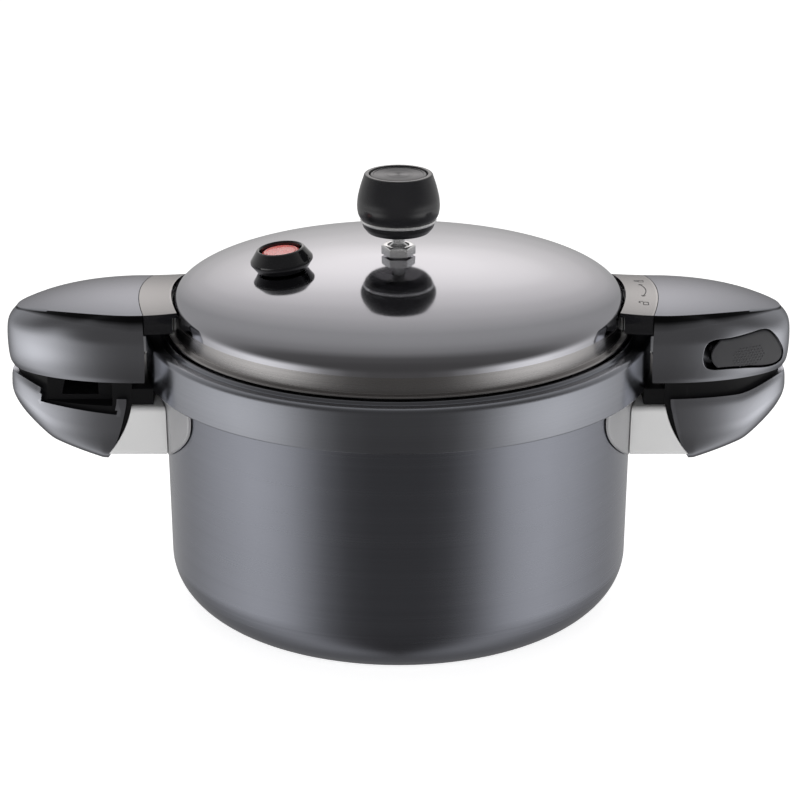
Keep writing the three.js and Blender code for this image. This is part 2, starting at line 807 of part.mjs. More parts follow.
// ---- lock ---------------------------------------------------------------------------------------
// The thumb piece follows the handle's side. A stem carries it to the bolt.
function lockSlider() {
  const clear = 0.45;
  const crestClear = 0.9; // the sloping top edge passes under the pocket's as it slides
  const outline = lockPrism(
    LOCK.pocketX0 + LOCK.travel + clear,
    LOCK.pocketX1 - clear,
    LOCK.z0 + clear,
    LOCK.z1 - crestClear,
  );
  const skin = cut(upperForm(0.2), upperForm(3.2, 90, 190)).intersect(outline);
  const stem = box(147, 154, -22, -12.9, 122, 127);
  return join(skin, stem);
}

const lockBolt = () => box(121.5, 156, -12.6, -7.4, 122, 127);

function lockDetent() {
  const shape = polygon([
    [124, 115.5],
    [132, 115.5],
    [140, 120.6],
    [148, 117.5],
    [147.8, 118.3],
    [140, 121.4],
    [131.7, 116.2],
    [124, 116.2],
  ]);
  return sideProfile(shape, -12.2, -7.8);
}

// ---- materials and assembly ---------------------------------------------------------------------
const finish = (color, roughness, metalness) => ({ color, roughness, metalness });
const FINISHES = {
  anodised: finish(0x6d6e76, 0.32, 0.9),
  polished: finish(0x77787f, 0.14, 0.95),
  castGrey: finish(0xa9a9ab, 0.45, 0.8),
  steel: finish(0xd2d2d2, 0.22, 1),
  handlePaint: finish(0x5e6068, 0.28, 0.6),
  capPaint: finish(0x8a8584, 0.35, 0.6),
  blackPlastic: finish(0x121214, 0.5, 0),
  sliderGrey: finish(0x36373a, 0.6, 0),
  chrome: finish(0xe6e6e6, 0.08, 1),
  weightBlack: finish(0x17171a, 0.35, 0.1),
  weightDisc: finish(0x4a4a4c, 0.4, 0.6),
  darkMetal: finish(0x2a2a2c, 0.3, 0.8),
  glossBlack: finish(0x08080a, 0.12, 0),
  signalRed: finish(0xc8403e, 0.3, 0),
  silicone: finish(0xd8d5cf, 0.6, 0),
};

function piece(name, body, finishName) {
  const material = new THREE.MeshStandardMaterial(FINISHES[finishName]);
  const mesh = new THREE.Mesh(geometryOf(body), material);
  mesh.name = name;
  return mesh;
}

// Pieces that both sides share are drawn on the right and turned half round for the left.
function sidePieces(side) {
  const group = new THREE.Group();
  group.rotation.z = side === "left" ? Math.PI : 0;
  const hasLock = side === "right";
  group.add(
    piece(`pot_flange_${side}`, potFlange(), "castGrey"),
    piece(`pot_bracket_${side}`, potBracket(), "steel"),
    piece(`pot_handle_${side}`, potHandle(), "handlePaint"),
    piece(`pot_handle_insert_${side}`, potHandleInsert(), "blackPlastic"),
    piece(`lid_handle_${side}`, lidHandle(hasLock), "handlePaint"),
    piece(`lid_handle_base_${side}`, lidHandleBase(), "blackPlastic"),
    piece(`lid_handle_cap_${side}`, lidHandleCap(), "capPaint"),
    piece(`lid_handle_bracket_${side}`, lidHandleBracket(), "steel"),
  );
  const potScrew = piece(`pot_handle_screw_${side}`, handleScrew(82.3, 2.9, 95), "steel");
  const lidScrew = piece(`lid_handle_screw_${side}`, handleScrew(114.6, 2.9, 139.6), "steel");
  potScrew.position.x = SCREW.x;
  lidScrew.position.x = SCREW.x;
  group.add(potScrew, lidScrew);
  return group;
}

const cooker = new THREE.Group();
cooker.add(
  piece("pot_body", potBody(), "anodised"),
  piece("lid_shell", lidShell(), "polished"),
  piece("lid_gasket", lidGasket(), "silicone"),
  sidePieces("right"),
  sidePieces("left"),
  piece("vent_pipe", ventPipe(), "chrome"),
  piece("vent_nut", ventNut(), "chrome"),
  piece("vent_nut_lower", ventNutLower(), "steel"),
  piece("vent_filter", ventFilter(), "steel"),
  piece("weight_core", weightCore(), "darkMetal"),
  piece("weight_ring", weightRing(), "chrome"),
  piece("weight_cap", weightCap(), "weightBlack"),
  piece("weight_disc", weightDisc(), "weightDisc"),
  piece("indicator_housing", placed(indicatorHousing()), "glossBlack"),
  piece("indicator_nut", placed(indicatorNut()), "steel"),
  piece("indicator_pin", placed(indicatorPin()), "signalRed"),
  piece("indicator_seal", placed(indicatorSeal()), "silicone"),
  piece("lock_slider", lockSlider(), "sliderGrey"),
  piece("lock_bolt", lockBolt(), "steel"),
  piece("lock_detent", lockDetent(), "steel"),
);

export default cooker;
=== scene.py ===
import math

import bpy
import bmesh
from mathutils import Matrix, Vector


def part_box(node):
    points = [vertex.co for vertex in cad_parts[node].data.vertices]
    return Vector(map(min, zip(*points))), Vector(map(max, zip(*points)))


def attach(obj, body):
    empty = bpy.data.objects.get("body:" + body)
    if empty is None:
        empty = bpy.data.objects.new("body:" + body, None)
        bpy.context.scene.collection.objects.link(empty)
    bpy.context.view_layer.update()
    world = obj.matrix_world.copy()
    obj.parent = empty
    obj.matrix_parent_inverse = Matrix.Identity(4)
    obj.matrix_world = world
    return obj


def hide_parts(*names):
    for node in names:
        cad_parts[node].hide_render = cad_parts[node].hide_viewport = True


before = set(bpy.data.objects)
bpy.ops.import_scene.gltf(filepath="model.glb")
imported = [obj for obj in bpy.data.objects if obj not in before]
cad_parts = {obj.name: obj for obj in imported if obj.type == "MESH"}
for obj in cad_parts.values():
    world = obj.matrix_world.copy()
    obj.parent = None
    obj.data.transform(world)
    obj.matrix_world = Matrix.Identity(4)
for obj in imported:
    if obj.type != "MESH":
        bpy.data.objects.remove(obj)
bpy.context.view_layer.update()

MM = 0.001

X, Y, Z = range(3)


def cad_span(node, axis):
    """The lowest and highest coordinate of a CAD node along an axis, in millimetres."""
    return tuple(round(corner[axis] / MM, 1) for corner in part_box(node))


# ---- places taken from the CAD, in millimetres ----
COLLAR_R, LIP_Z = cad_span("pot_body", X)[1], cad_span("pot_body", Z)[1]
LID_R = cad_span("lid_shell", X)[1]
CAP_OUT, CAP_BOTTOM = cad_span("lid_handle_cap_right", X)[1], cad_span("lid_handle_cap_right", Z)[0]
HANDLE_HALF, HANDLE_BOTTOM = cad_span("lid_handle_right", Y)[1], cad_span("lid_handle_right", Z)[0]
ARM_END = cad_span("lid_handle_bracket_right", X)[1]
LOWER_END_TOP, LOWER_END = cad_span("pot_handle_right", X)
BRACKET_HALF = cad_span("pot_bracket_right", Y)[1]
BRACKET_LOW, BRACKET_TOP = cad_span("pot_bracket_right", Z)
FLANGE_HALF = cad_span("pot_flange_right", Y)[1]
FLANGE_LOW, FLANGE_TOP = cad_span("pot_flange_right", Z)
SCREW_X = sum(cad_span("pot_handle_screw_right", X)) / 2

# ---- other driving dimensions, in millimetres ----
POT_TOP, POT_LOW = 105.2, 103.7
POT_WALL, POT_FLOOR = 3.0, 4.0
CORNER_OUT, CORNER_UP = 34.0, 27.0
COLLAR_Z0, COLLAR_Z1 = 111.8, 131.6
SEAT_Z, BORE_R, MOUTH_R, LIP_R = 113.3, 105.4, 98.5, 105.0
LID_BAND_Z, LID_SHOULDER, LID_APEX, LID_NECK = 132.9, 141.2, 164.0, 99.5
LUG_COUNT, LUG_SPAN = 6, 26.0
HANDLE_X, TIP_AXIS, LID_AXIS = 118.0, 57.6, 80.0
HANDLE_R = 115.9  # the cylinder that the upper handles stop at
CREASE_Z, CROWN, GROOVE_DEPTH = 145.1, 2.1, 1.6
TIP_DROP, LID_RISE, SIDE_TOP, CROWN_RISE = 5.6, 0.5, 124, 20
CAP_LIP, CAP_IN = 101.4, 103.2
ARM_LOW, ARM_TOP, ARM_HALF, ARM_GAP = 136.5, 139.1, 11.0, 0.4
LOWER_X, LOWER_BACK, LOWER_HALF = 118.0, 90.0, 29.3
LOWER_TIP = LOWER_END - LOWER_X
LOWER_SHELL, LOWER_END_LOW = 2.6, 132.0
SHEET, FLANGE_THICK = 1.6, 1.4
LOCK_TRAVEL = 3.0


# ---- mesh helpers ----
def make_object(name, verts, faces, material, smooth=True):
    """An object from vertices in millimetres and faces as index lists."""
    mesh = bpy.data.meshes.new(name)
    mesh.from_pydata([Vector(v) * MM for v in verts], [], faces)
    mesh.validate()
    mesh.materials.append(material)
    if smooth:
        mesh.polygons.foreach_set("use_smooth", [True] * len(mesh.polygons))
    piece = bpy.data.objects.new(name, mesh)
    bpy.context.scene.collection.objects.link(piece)
    clean(piece)
    return piece


def clean(piece):
    """Merges doubled vertices and turns all faces outward."""
    work = bmesh.new()
    work.from_mesh(piece.data)
    bmesh.ops.remove_doubles(work, verts=work.verts, dist=1e-6)
    bmesh.ops.dissolve_degenerate(work, edges=work.edges, dist=1e-7)
    bmesh.ops.recalc_face_normals(work, faces=work.faces)
    work.to_mesh(piece.data)
    work.free()


def apply_modifiers(piece):
    graph = bpy.context.evaluated_depsgraph_get()
    baked = bpy.data.meshes.new_from_object(piece.evaluated_get(graph))
    piece.modifiers.clear()
    piece.data = baked


def shade_smooth(piece):
    piece.data.polygons.foreach_set("use_smooth", [True] * len(piece.data.polygons))


def soften(piece, width=0.4, segments=2, angle=35):
    """Rounds every edge sharper than the angle and keeps the faces beside it flat."""
    bevel = piece.modifiers.new("edges", "BEVEL")
    bevel.width = width * MM
    bevel.segments = segments
    bevel.limit_method = "ANGLE"
    bevel.angle_limit = math.radians(angle)
    bevel.miter_outer = "MITER_ARC"
    weighted = piece.modifiers.new("normals", "WEIGHTED_NORMAL")
    weighted.keep_sharp = True
    apply_modifiers(piece)
    shade_smooth(piece)
    return piece


def boolean(piece, tool, operation):
    """Joins or cuts with another object, which is then removed."""
    step = piece.modifiers.new("boolean", "BOOLEAN")
    step.operation = operation
    step.solver = "EXACT"
    step.object = tool
    apply_modifiers(piece)
    bpy.data.objects.remove(tool)
    return piece


def cut(piece, tool):
    return boolean(piece, tool, "DIFFERENCE")


def join(piece, tool):
    return boolean(piece, tool, "UNION")


def cut_box(piece, x, y, z):
    return cut(piece, box("cut", x, y, z, piece.data.materials[0]))


def rounded(corners, steps=4):
    """A profile from (radius, height, fillet) corners, each fillet drawn as an arc."""
    points = []
    count = len(corners)
    for i, corner in enumerate(corners):
        here = Vector(corner[:2])
        fillet = corner[2] if len(corner) > 2 else 0
        if not fillet or i in (0, count - 1):
            points.append(tuple(here))
            continue
        before = (Vector(corners[i - 1][:2]) - here)
        after = (Vector(corners[i + 1][:2]) - here)
        turn = before.angle(after)
        reach = min(fillet / math.tan(turn / 2), before.length * 0.49, after.length * 0.49)
        start, end = here + before.normalized() * reach, here + after.normalized() * reach
        for k in range(steps + 1):
            t = k / steps
            points.append(tuple(start * (1 - t) ** 2 + here * 2 * t * (1 - t) + end * t * t))
    return points


def turned(name, profile, material, segments=192, smooth=True):
    """A profile of (radius, height) turned round Z. Ends on the axis close by themselves."""
    verts, rows = [], []
    for radius, height in profile:
        if radius < 1e-6:
            rows.append([len(verts)])
            verts.append((0, 0, height))
            continue
        first = len(verts)
        for k in range(segments):
            angle = 2 * math.pi * k / segments
            verts.append((radius * math.cos(angle), radius * math.sin(angle), height))
        rows.append(list(range(first, first + segments)))
    faces = []
    closed = profile[0][0] > 1e-6
    pairs = list(zip(rows, rows[1:])) + ([(rows[-1], rows[0])] if closed else [])
    for low, high in pairs:
        for k in range(segments):
            nxt = (k + 1) % segments
            if len(low) == 1 and len(high) == 1:
                continue
            if len(low) == 1:
                faces.append((low[0], high[nxt], high[k]))
            elif len(high) == 1:
                faces.append((low[k], low[nxt], high[0]))
            else:
                faces.append((low[k], low[nxt], high[nxt], high[k]))
    return make_object(name, verts, faces, material, smooth)


def prism(name, outline, low, high, material, axis="Z"):
    """A closed outline of (a, b) pairs raised along an axis."""
    place = {
        "Z": lambda a, b, c: (a, b, c),
        "Y": lambda a, b, c: (a, c, b),
        "X": lambda a, b, c: (c, a, b),
    }[axis]
    count = len(outline)
    verts = [place(a, b, low) for a, b in outline] + [place(a, b, high) for a, b in outline]
    faces = [tuple(range(count)), tuple(range(2 * count - 1, count - 1, -1))]
    faces += [(k, (k + 1) % count, count + (k + 1) % count, count + k) for k in range(count)]
    return make_object(name, verts, faces, material, smooth=False)


def box(name, x, y, z, material):
    outline = [(x[0], y[0]), (x[1], y[0]), (x[1], y[1]), (x[0], y[1])]
    return prism(name, outline, z[0], z[1], material)


def sector_outline(inner, outer, centre, span, steps=10):
    angles = [math.radians(centre - span / 2 + span * k / steps) for k in range(steps + 1)]
    outside = [(outer * math.cos(a), outer * math.sin(a)) for a in angles]
    inside = [(inner * math.cos(a), inner * math.sin(a)) for a in reversed(angles)]
    return outside + inside


def merged(name, pieces):
    """Joins the meshes of several objects into one object."""
    work = bmesh.new()
    for piece in pieces:
        work.from_mesh(piece.data)
    mesh = pieces[0].data
    work.to_mesh(mesh)
    work.free()
    for piece in pieces[1:]:
        bpy.data.objects.remove(piece)
    pieces[0].name = name
    mesh.name = name
    return pieces[0]


def lug_ring(inner, outer, low, high, material):
    """The bayonet's lugs, evenly spaced."""
    middles = [(k + 0.5) * 360 / LUG_COUNT for k in range(LUG_COUNT)]
    outlines = [sector_outline(inner, outer, middle, LUG_SPAN) for middle in middles]
    return merged("lugs", [prism("lug", outline, low, high, material) for outline in outlines])


def finished(piece, body, slot, *replaced):
    """Declares what a piece rides on and the CAD nodes that it replaces. The slot argument is not used."""
    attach(piece, body)
    if replaced:
        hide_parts(*replaced)
    return piece


def on_side(piece, side):
    """A piece drawn on the right, turned half round the pot's axis where it is the left one."""
    if side == "left":
        piece.data.transform(Matrix.Rotation(math.pi, 4, "Z"))
    return piece


def at_screw(piece):
    """Moves a piece drawn on the Z axis to the right handles' screw."""
    piece.data.transform(Matrix.Translation((SCREW_X * MM, 0, 0)))
    return piece


def sharpened(piece, angle):
    """Shades a piece smooth except at edges sharper than the angle."""
    shade_smooth(piece)
    piece.data.set_sharp_from_angle(angle=math.radians(angle))
    return piece


def smoothstep(value, low, high):
    t = min(1.0, max(0.0, (value - low) / (high - low)))
    return t * t * (3 - 2 * t)


def curve_through(knots, at):
    """A smooth curve through (position, values...) knots, read at one position."""
    index = 0
    while index < len(knots) - 2 and at > knots[index + 1][0]:
        index += 1
    a, b = knots[index], knots[index + 1]
    before = knots[max(0, index - 1)]
    after = knots[min(len(knots) - 1, index + 2)]
    span = b[0] - a[0]
    t = (at - a[0]) / span
    result = []
    for k in range(1, len(a)):
        slope_a = (b[k] - before[k]) / (b[0] - before[0]) * span
        slope_b = (after[k] - a[k]) / (after[0] - a[0]) * span
        t2, t3 = t * t, t * t * t
        result.append(
            (2 * t3 - 3 * t2 + 1) * a[k]
            + (t3 - 2 * t2 + t) * slope_a
            + (3 * t2 - 2 * t3) * b[k]
            + (t3 - t2) * slope_b
        )
    return result


# ---- materials ----
class Shader:
    """A material in the making, with short calls for the nodes it needs."""

    def __init__(self, name, color, roughness, metallic=0.0, **sockets):
        self.material = bpy.data.materials.new(name)
        self.material.use_nodes = True
        self.nodes = self.material.node_tree.nodes
        self.links = self.material.node_tree.links
        self.surface = self.nodes["Principled BSDF"]
        self.surface.inputs["Base Color"].default_value = (*color, 1)
        self.surface.inputs["Roughness"].default_value = roughness
        self.surface.inputs["Metallic"].default_value = metallic
        for socket, value in sockets.items():
            self.surface.inputs[socket.replace("_", " ")].default_value = value
        self.color, self.roughness = color, roughness
        self.place = self.nodes.new("ShaderNodeTexCoord").outputs["Object"]

    def feed(self, socket, source):
        if hasattr(source, "links"):
            self.links.new(source, socket)
        else:
            socket.default_value = source

    def math(self, operation, *values):
        node = self.nodes.new("ShaderNodeMath")
        node.operation = operation
        for socket, value in zip(node.inputs, values):
            self.feed(socket, value)
        return node.outputs[0]

    def blend(self, a, share, b):
        """The share of one value, and what is left of the other."""
        return self.math("ADD", self.math("MULTIPLY", a, share), self.math("MULTIPLY", b, 1 - share))

    def noise(self, vector, scale, detail=2.0, rough=0.5):
        node = self.nodes.new("ShaderNodeTexNoise")
        self.feed(node.inputs["Vector"], vector)
        node.inputs["Scale"].default_value = scale
        node.inputs["Detail"].default_value = detail
        node.inputs["Roughness"].default_value = rough
        return node.outputs["Fac"]

    def spread(self, value, low, high, to_low, to_high):
        node = self.nodes.new("ShaderNodeMapRange")
        for index, item in enumerate((value, low, high, to_low, to_high)):
            self.feed(node.inputs[index], item)
        return node.outputs[0]

    def around_axis(self, across, along, turn):
        """A place whose parts are distance from the Z axis, height, and angle, each scaled."""
        split = self.nodes.new("ShaderNodeSeparateXYZ")
        self.feed(split.inputs[0], self.place)
        x, y, z = split.outputs
        squares = self.math("ADD", self.math("MULTIPLY", x, x), self.math("MULTIPLY", y, y))
        radius = self.math("SQRT", squares)
        angle = self.math("ARCTAN2", y, self.math("ABSOLUTE", x))
        joined = self.nodes.new("ShaderNodeCombineXYZ")
        self.feed(joined.inputs[0], self.math("MULTIPLY", radius, across))
        self.feed(joined.inputs[1], self.math("MULTIPLY", z, along))
        self.feed(joined.inputs[2], self.math("MULTIPLY", angle, turn))
        return joined.outputs[0]

    def stretched(self, scales):
        node = self.nodes.new("ShaderNodeMapping")
        self.feed(node.inputs["Vector"], self.place)
        node.inputs["Scale"].default_value = scales
        return node.outputs[0]

    def tint(self, factor, low, high):
        node = self.nodes.new("ShaderNodeMix")
        node.data_type = "RGBA"
        self.feed(node.inputs["Factor"], factor)
        node.inputs["A"].default_value = (*low, 1)
        node.inputs["B"].default_value = (*high, 1)
        self.feed(self.surface.inputs["Base Color"], node.outputs["Result"])

    def vary_roughness(self, factor, low, high):
        self.feed(self.surface.inputs["Roughness"], self.spread(factor, 0.3, 0.7, low, high))

    def bump(self, height, strength, distance):
        node = self.nodes.new("ShaderNodeBump")
        node.inputs["Strength"].default_value = strength
        node.inputs["Distance"].default_value = distance
        self.feed(node.inputs["Height"], height)
        self.feed(self.surface.inputs["Normal"], node.outputs[0])

    def worn_edges(self, bright, dark):
        """Lightens the edges that hands and cloths rub, found from the surface's own curvature."""
        geometry = self.nodes.new("ShaderNodeNewGeometry")
        grain = self.noise(self.place, 180, 3)
        edge = self.spread(geometry.outputs["Pointiness"], 0.52, 0.6, 0.0, 0.6)
        self.tint(self.math("MULTIPLY", edge, grain), dark, bright)


def lighter(color, factor):
    return tuple(min(1.0, channel * factor) for channel in color)


def turned_metal(name, color, roughness, lines, depth):
    """Metal with fine lines running round the Z axis, which smear its highlights across them."""
    shader = Shader(name, color, roughness, 1.0, Anisotropic=0.8, Anisotropic_Rotation=0.25)
    fine = shader.noise(shader.around_axis(lines, lines, 0.6), 1.0, 3, 0.6)
    coarse = shader.noise(shader.around_axis(lines / 6, lines / 6, 0.5), 1.0, 2, 0.5)
    smudge = shader.noise(shader.place, 14, 4, 0.6)
    marks = shader.blend(fine, 0.6, coarse)
    mixed = shader.blend(marks, 0.75, smudge)
    shader.vary_roughness(mixed, roughness * 0.72, roughness * 1.28)
    shader.tint(shader.spread(marks, 0.25, 0.75, 0, 1), lighter(color, 0.88), lighter(color, 1.12))
    shader.bump(marks, depth, 0.00006)
    return shader.material


def polished_metal(name, color, roughness, depth=0.02, **sockets):
    shader = Shader(name, color, roughness, 1.0, **sockets)
    smear = shader.noise(shader.place, 22, 5, 0.65)
    hair = shader.noise(shader.stretched((1200, 90, 1200)), 1.0, 2)
    shader.vary_roughness(smear, roughness * 0.7, roughness * 1.5)
    shader.tint(smear, lighter(color, 0.96), lighter(color, 1.04))
    shader.bump(hair, depth, 0.00003)
    return shader.material


def painted_crease_shade(shader, color):
    """Painted shade: darkens the upper handle's side in a band under its crease, deeper toward the lid, in
    place of the groove's shadow and dark reflection.
    """
    where = shader.nodes.new("ShaderNodeSeparateXYZ")
    shader.links.new(shader.place, where.inputs[0])
    facing = shader.nodes.new("ShaderNodeSeparateXYZ")
    shader.links.new(shader.nodes.new("ShaderNodeTexCoord").outputs["Normal"], facing.inputs[0])
    x = shader.math("ABSOLUTE", where.outputs[0])
    out = shader.spread(x, HANDLE_X * MM, (HANDLE_X + TIP_AXIS) * MM, 0.0, 1.0)
    sweep = shader.math("MULTIPLY", shader.math("POWER", out, 3.0), TIP_DROP * MM)
    below = shader.math("SUBTRACT", shader.math("SUBTRACT", CREASE_Z * MM, sweep), where.outputs[2])
    reach = shader.spread(out, 0.0, 0.85, 0.0052, 0.0006)
    plain = shader.spread(shader.math("DIVIDE", below, reach), 0.6, 1.5, 0.0, 1.0)
    top = shader.spread(facing.outputs[2], 0.62, 0.8, 0.0, 1.0)
    shader.tint(shader.math("MAXIMUM", plain, top), lighter(color, 0.06), color)


def lacquer(name, color, roughness, metallic, tint, shade_crease=False):
    """Metallic lacquer over a moulding: fine flakes under a clear coat with a little orange peel."""
    edge = (tint, tint, tint, 1)
    coat = {"Coat_Weight": 0.08, "Coat_Roughness": 0.08}
    shader = Shader(name, color, roughness, metallic, Specular_Tint=edge, **coat)
    flake = shader.noise(shader.place, 5200, 1, 0.5)
    peel = shader.noise(shader.place, 300, 2, 0.5)
    cloud = shader.noise(shader.place, 16, 3, 0.6)
    # Painted shade: the upper handles' copy darkens the side under the crease to stand in for the groove's
    # shadow.
    if shade_crease:
        painted_crease_shade(shader, color)
    else:
        shader.worn_edges(lighter(color, 1.7), color)
    shader.vary_roughness(cloud, roughness * 0.9, roughness * 1.12)
    skin = shader.blend(peel, 0.8, flake)
    shader.bump(skin, 0.04, 0.0001)
    return shader.material


def moulding(name, color, roughness, grain=900, depth=0.25, wear=1.8, **sockets):
    """Moulded plastic or rubber with a fine grain and slightly rubbed edges."""
    shader = Shader(name, color, roughness, 0.0, **sockets)
    fine = shader.noise(shader.place, grain, 3, 0.6)
    cloud = shader.noise(shader.place, 40, 3, 0.6)
    shader.worn_edges(lighter(color, wear), color)
    shader.vary_roughness(cloud, roughness * 0.85, roughness * 1.15)
    shader.bump(fine, depth, 0.00008)
    return shader.material


def make_materials():
    dark = (0.295, 0.305, 0.345)
    return {
        "pot": turned_metal("pot_anodised", dark, 0.24, 1500, 0.05),
        "collar": turned_metal("collar_turned", (0.355, 0.365, 0.40), 0.22, 2400, 0.2),
        "inside": turned_metal("pot_inside", (0.60, 0.60, 0.61), 0.42, 900, 0.2),
        "base": turned_metal("pot_underside", (0.22, 0.22, 0.235), 0.36, 1100, 0.35),
        "dome": polished_metal("lid_polished", (0.49, 0.488, 0.52), 0.07),
        "band": turned_metal("lid_band_turned", (0.50, 0.485, 0.48), 0.25, 1100, 0.22),
        "cast": moulding("flange_blasted", (0.42, 0.42, 0.43), 0.36, 1500, 0.15, 1.2, Metallic=0.5),
        "steel": moulding("bracket_satin", (0.56, 0.56, 0.56), 0.4, 1500, 0.05, 1.1, Metallic=0.1),
        "screw": turned_metal("screw_steel", (0.6, 0.6, 0.61), 0.25, 1800, 0.2),
        "lacquer": lacquer("handle_lacquer", (0.50, 0.51, 0.55), 0.22, 1.0, 0.45),
        # Painted shade: a copy of the handle lacquer for the upper handles, darkened under the crease.
        "upper": lacquer("upper_lacquer_crease_shade", (0.50, 0.51, 0.55), 0.22, 1.0, 0.45, shade_crease=True),
        "cap": lacquer("cap_lacquer", (0.53, 0.52, 0.515), 0.22, 1.0, 0.55),
        "black": moulding("black_phenolic", (0.005, 0.005, 0.0055), 0.4, 1100, 0.2, Specular_IOR_Level=0.25),
        "slider": moulding("slider_grey", (0.038, 0.038, 0.041), 0.44, 1400, 0.3),
        "chrome": polished_metal("chrome_plate", (0.92, 0.92, 0.92), 0.1, 0.02, Metallic=0.8),
        "weight": moulding("weight_black", (0.012, 0.012, 0.0135), 0.26, 1600, 0.08, 1.4, Coat_Weight=0.25),
        "weight_metal": turned_metal("weight_metal", (0.20, 0.195, 0.19), 0.3, 1600, 0.2),
        "weight_disc": turned_metal("weight_disc", (0.10, 0.10, 0.105), 0.34, 1500, 0.35),
        "gloss": moulding("indicator_gloss", (0.006, 0.006, 0.007), 0.1, 500, 0.02, 1.5, Coat_Weight=0.6),
        "red": signal_red(),
        "silicone": moulding("silicone", (0.62, 0.60, 0.56), 0.5, 700, 0.1, 1.05, Subsurface_Weight=0.1),
        "print": moulding("icon_print", (0.02, 0.02, 0.022), 0.5, 900, 0.05),
    }


def signal_red():
    red = (0.80, 0.15, 0.13)
    shader = Shader("signal_red", red, 0.25, 0.0, Subsurface_Weight=0.35, Coat_Weight=0.6)
    shader.surface.inputs["Subsurface Radius"].default_value = (0.004, 0.001, 0.001)
    cloud = shader.noise(shader.place, 260, 3)
    shader.tint(cloud, lighter(red, 0.8), lighter(red, 1.25))
    shader.vary_roughness(cloud, 0.2, 0.34)
    shader.bump(cloud, 0.06, 0.0001)
    return shader.material


SKIN = make_materials()


def paint_faces(piece, material, chosen):
    """Gives a second material to the faces that a test on the face's centre picks."""
    piece.data.materials.append(material)
    slot = len(piece.data.materials) - 1
    for face in piece.data.polygons:
        if chosen(face.center / MM, face.normal):
            face.material_index = slot


# ---- pot ----
def pot_radius(z):
    return POT_LOW + (POT_TOP - POT_LOW) * (z - CORNER_UP) / (COLLAR_Z0 - CORNER_UP)


def pot_corner(inset, floor, steps):
    centre = POT_LOW - CORNER_OUT
    points = []
    for k in range(steps + 1):
        angle = math.pi / 2 * k / steps
        radius = centre + (CORNER_OUT - inset) * math.sin(angle)
        points.append((radius, CORNER_UP - (CORNER_UP - floor) * math.cos(angle)))
    return points


def underside_rings():
    """Shallow concentric grooves turned into the base."""
    points = [(0, 0)]
    for radius in range(6, 66, 6):
        points += [(radius - 0.5, 0), (radius - 0.2, 0.25), (radius + 0.2, 0.25), (radius + 0.5, 0)]
    return points


def build_pot():
    wall = [(pot_radius(z), z) for z in (40, 55, 70, 85, 100, 108)]
    collar = rounded(
        [
            (pot_radius(108), 108), (pot_radius(COLLAR_Z0), COLLAR_Z0, 0.3),
            (COLLAR_R, COLLAR_Z0, 0.7), (COLLAR_R, COLLAR_Z1, 3.4), (LIP_R + 3.4, COLLAR_Z1, 0.5),
            (LIP_R + 2.8, COLLAR_Z1 - 0.5, 0.3), (LIP_R + 1.8, COLLAR_Z1 - 0.5, 0.3),
            (LIP_R + 1.3, LIP_Z, 0.35), (LIP_R, LIP_Z, 0.35), (LIP_R, COLLAR_Z1 - 1, 0.1),
            (BORE_R, COLLAR_Z1 - 1.4, 0.1), (BORE_R, SEAT_Z, 0.5), (MOUTH_R, SEAT_Z, 0.6),
            (MOUTH_R, SEAT_Z - 3, 1.2), (pot_radius(105) - POT_WALL, 106, 2),
            (pot_radius(95) - POT_WALL, 95),
        ],
        6,
    )
    inside = [(pot_radius(z) - POT_WALL, z) for z in (80, 65, 50, 38)]
    floor = list(reversed(pot_corner(POT_WALL, POT_FLOOR, 24))) + [(r, POT_FLOOR) for r in (45, 20, 0)]
    profile = underside_rings() + pot_corner(0, 0, 32) + wall + collar[1:] + inside + floor
    pot = turned("pot", profile, SKIN["pot"], 256)
    join(pot, lug_ring(LID_R, BORE_R + 0.8, 122, 127, SKIN["pot"]))
    cut_box(pot, (COLLAR_R - 3, COLLAR_R + 3), (-13.4, -6.6), (121, 128))
    sharpened(pot, 32)
    collar_low = COLLAR_Z0 - 0.05
    paint_faces(pot, SKIN["collar"], lambda c, n: c.z > collar_low and c.xy.length > BORE_R - 0.6)
    paint_faces(
        pot,
        SKIN["inside"],
        lambda c, n: c.z > POT_FLOOR - 0.1 and c.xy.length < pot_radius(max(c.z, CORNER_UP)) - 1.5
        and (c.z > CORNER_UP or n.z > 0.05 or c.z > POT_FLOOR + 1 and n.xy.dot(c.xy) < 0)
        and c.z < 121,
    )
    paint_faces(pot, SKIN["base"], lambda c, n: c.z < 0.5 and c.xy.length < 66)
    return finished(pot, "pot", "pot_anodised", "pot_body")


def build_flange(side):
    """A pad on the pot wall: wide under the collar, with rounded corners below."""
    bottom, top, across, rows = FLANGE_LOW, FLANGE_TOP, 40, 26

    def half_width(z):
        rise = min(1.0, (z - bottom) / 25)
        return FLANGE_HALF - 28 * (1 - rise) ** 2

    def point(column, row, lift):
        z = bottom + (top - bottom) * row / rows
        radius = pot_radius(z) + lift
        y = half_width(z) * (2 * column / across - 1)
        return (math.sqrt(radius**2 - y**2), y, z)

    verts = [point(c, r, 0.3) for r in range(rows + 1) for c in range(across + 1)]
    verts += [point(c, r, 0.3 + FLANGE_THICK) for r in range(rows + 1) for c in range(across + 1)]
    size = (rows + 1) * (across + 1)
    faces = []
    for r in range(rows):
        for c in range(across):
            a = r * (across + 1) + c
            b = a + across + 1
            faces += [(a, a + 1, b + 1, b), (size + a, size + b, size + b + 1, size + a + 1)]
    rim = [(0, c) for c in range(across)] + [(r, across) for r in range(rows)]
    rim += [(rows, c) for c in range(across, 0, -1)] + [(r, 0) for r in range(rows, 0, -1)]
    loop = [r * (across + 1) + c for r, c in rim]
    for here, after in zip(loop, loop[1:] + loop[:1]):
        faces.append((here, after, size + after, size + here))
    name = f"flange_{side}"
    pad = soften(make_object(name, verts, faces, SKIN["cast"]), 0.5, 3, 50)
    return finished(on_side(pad, side), "pot", "cast_grey", f"pot_flange_{side}")


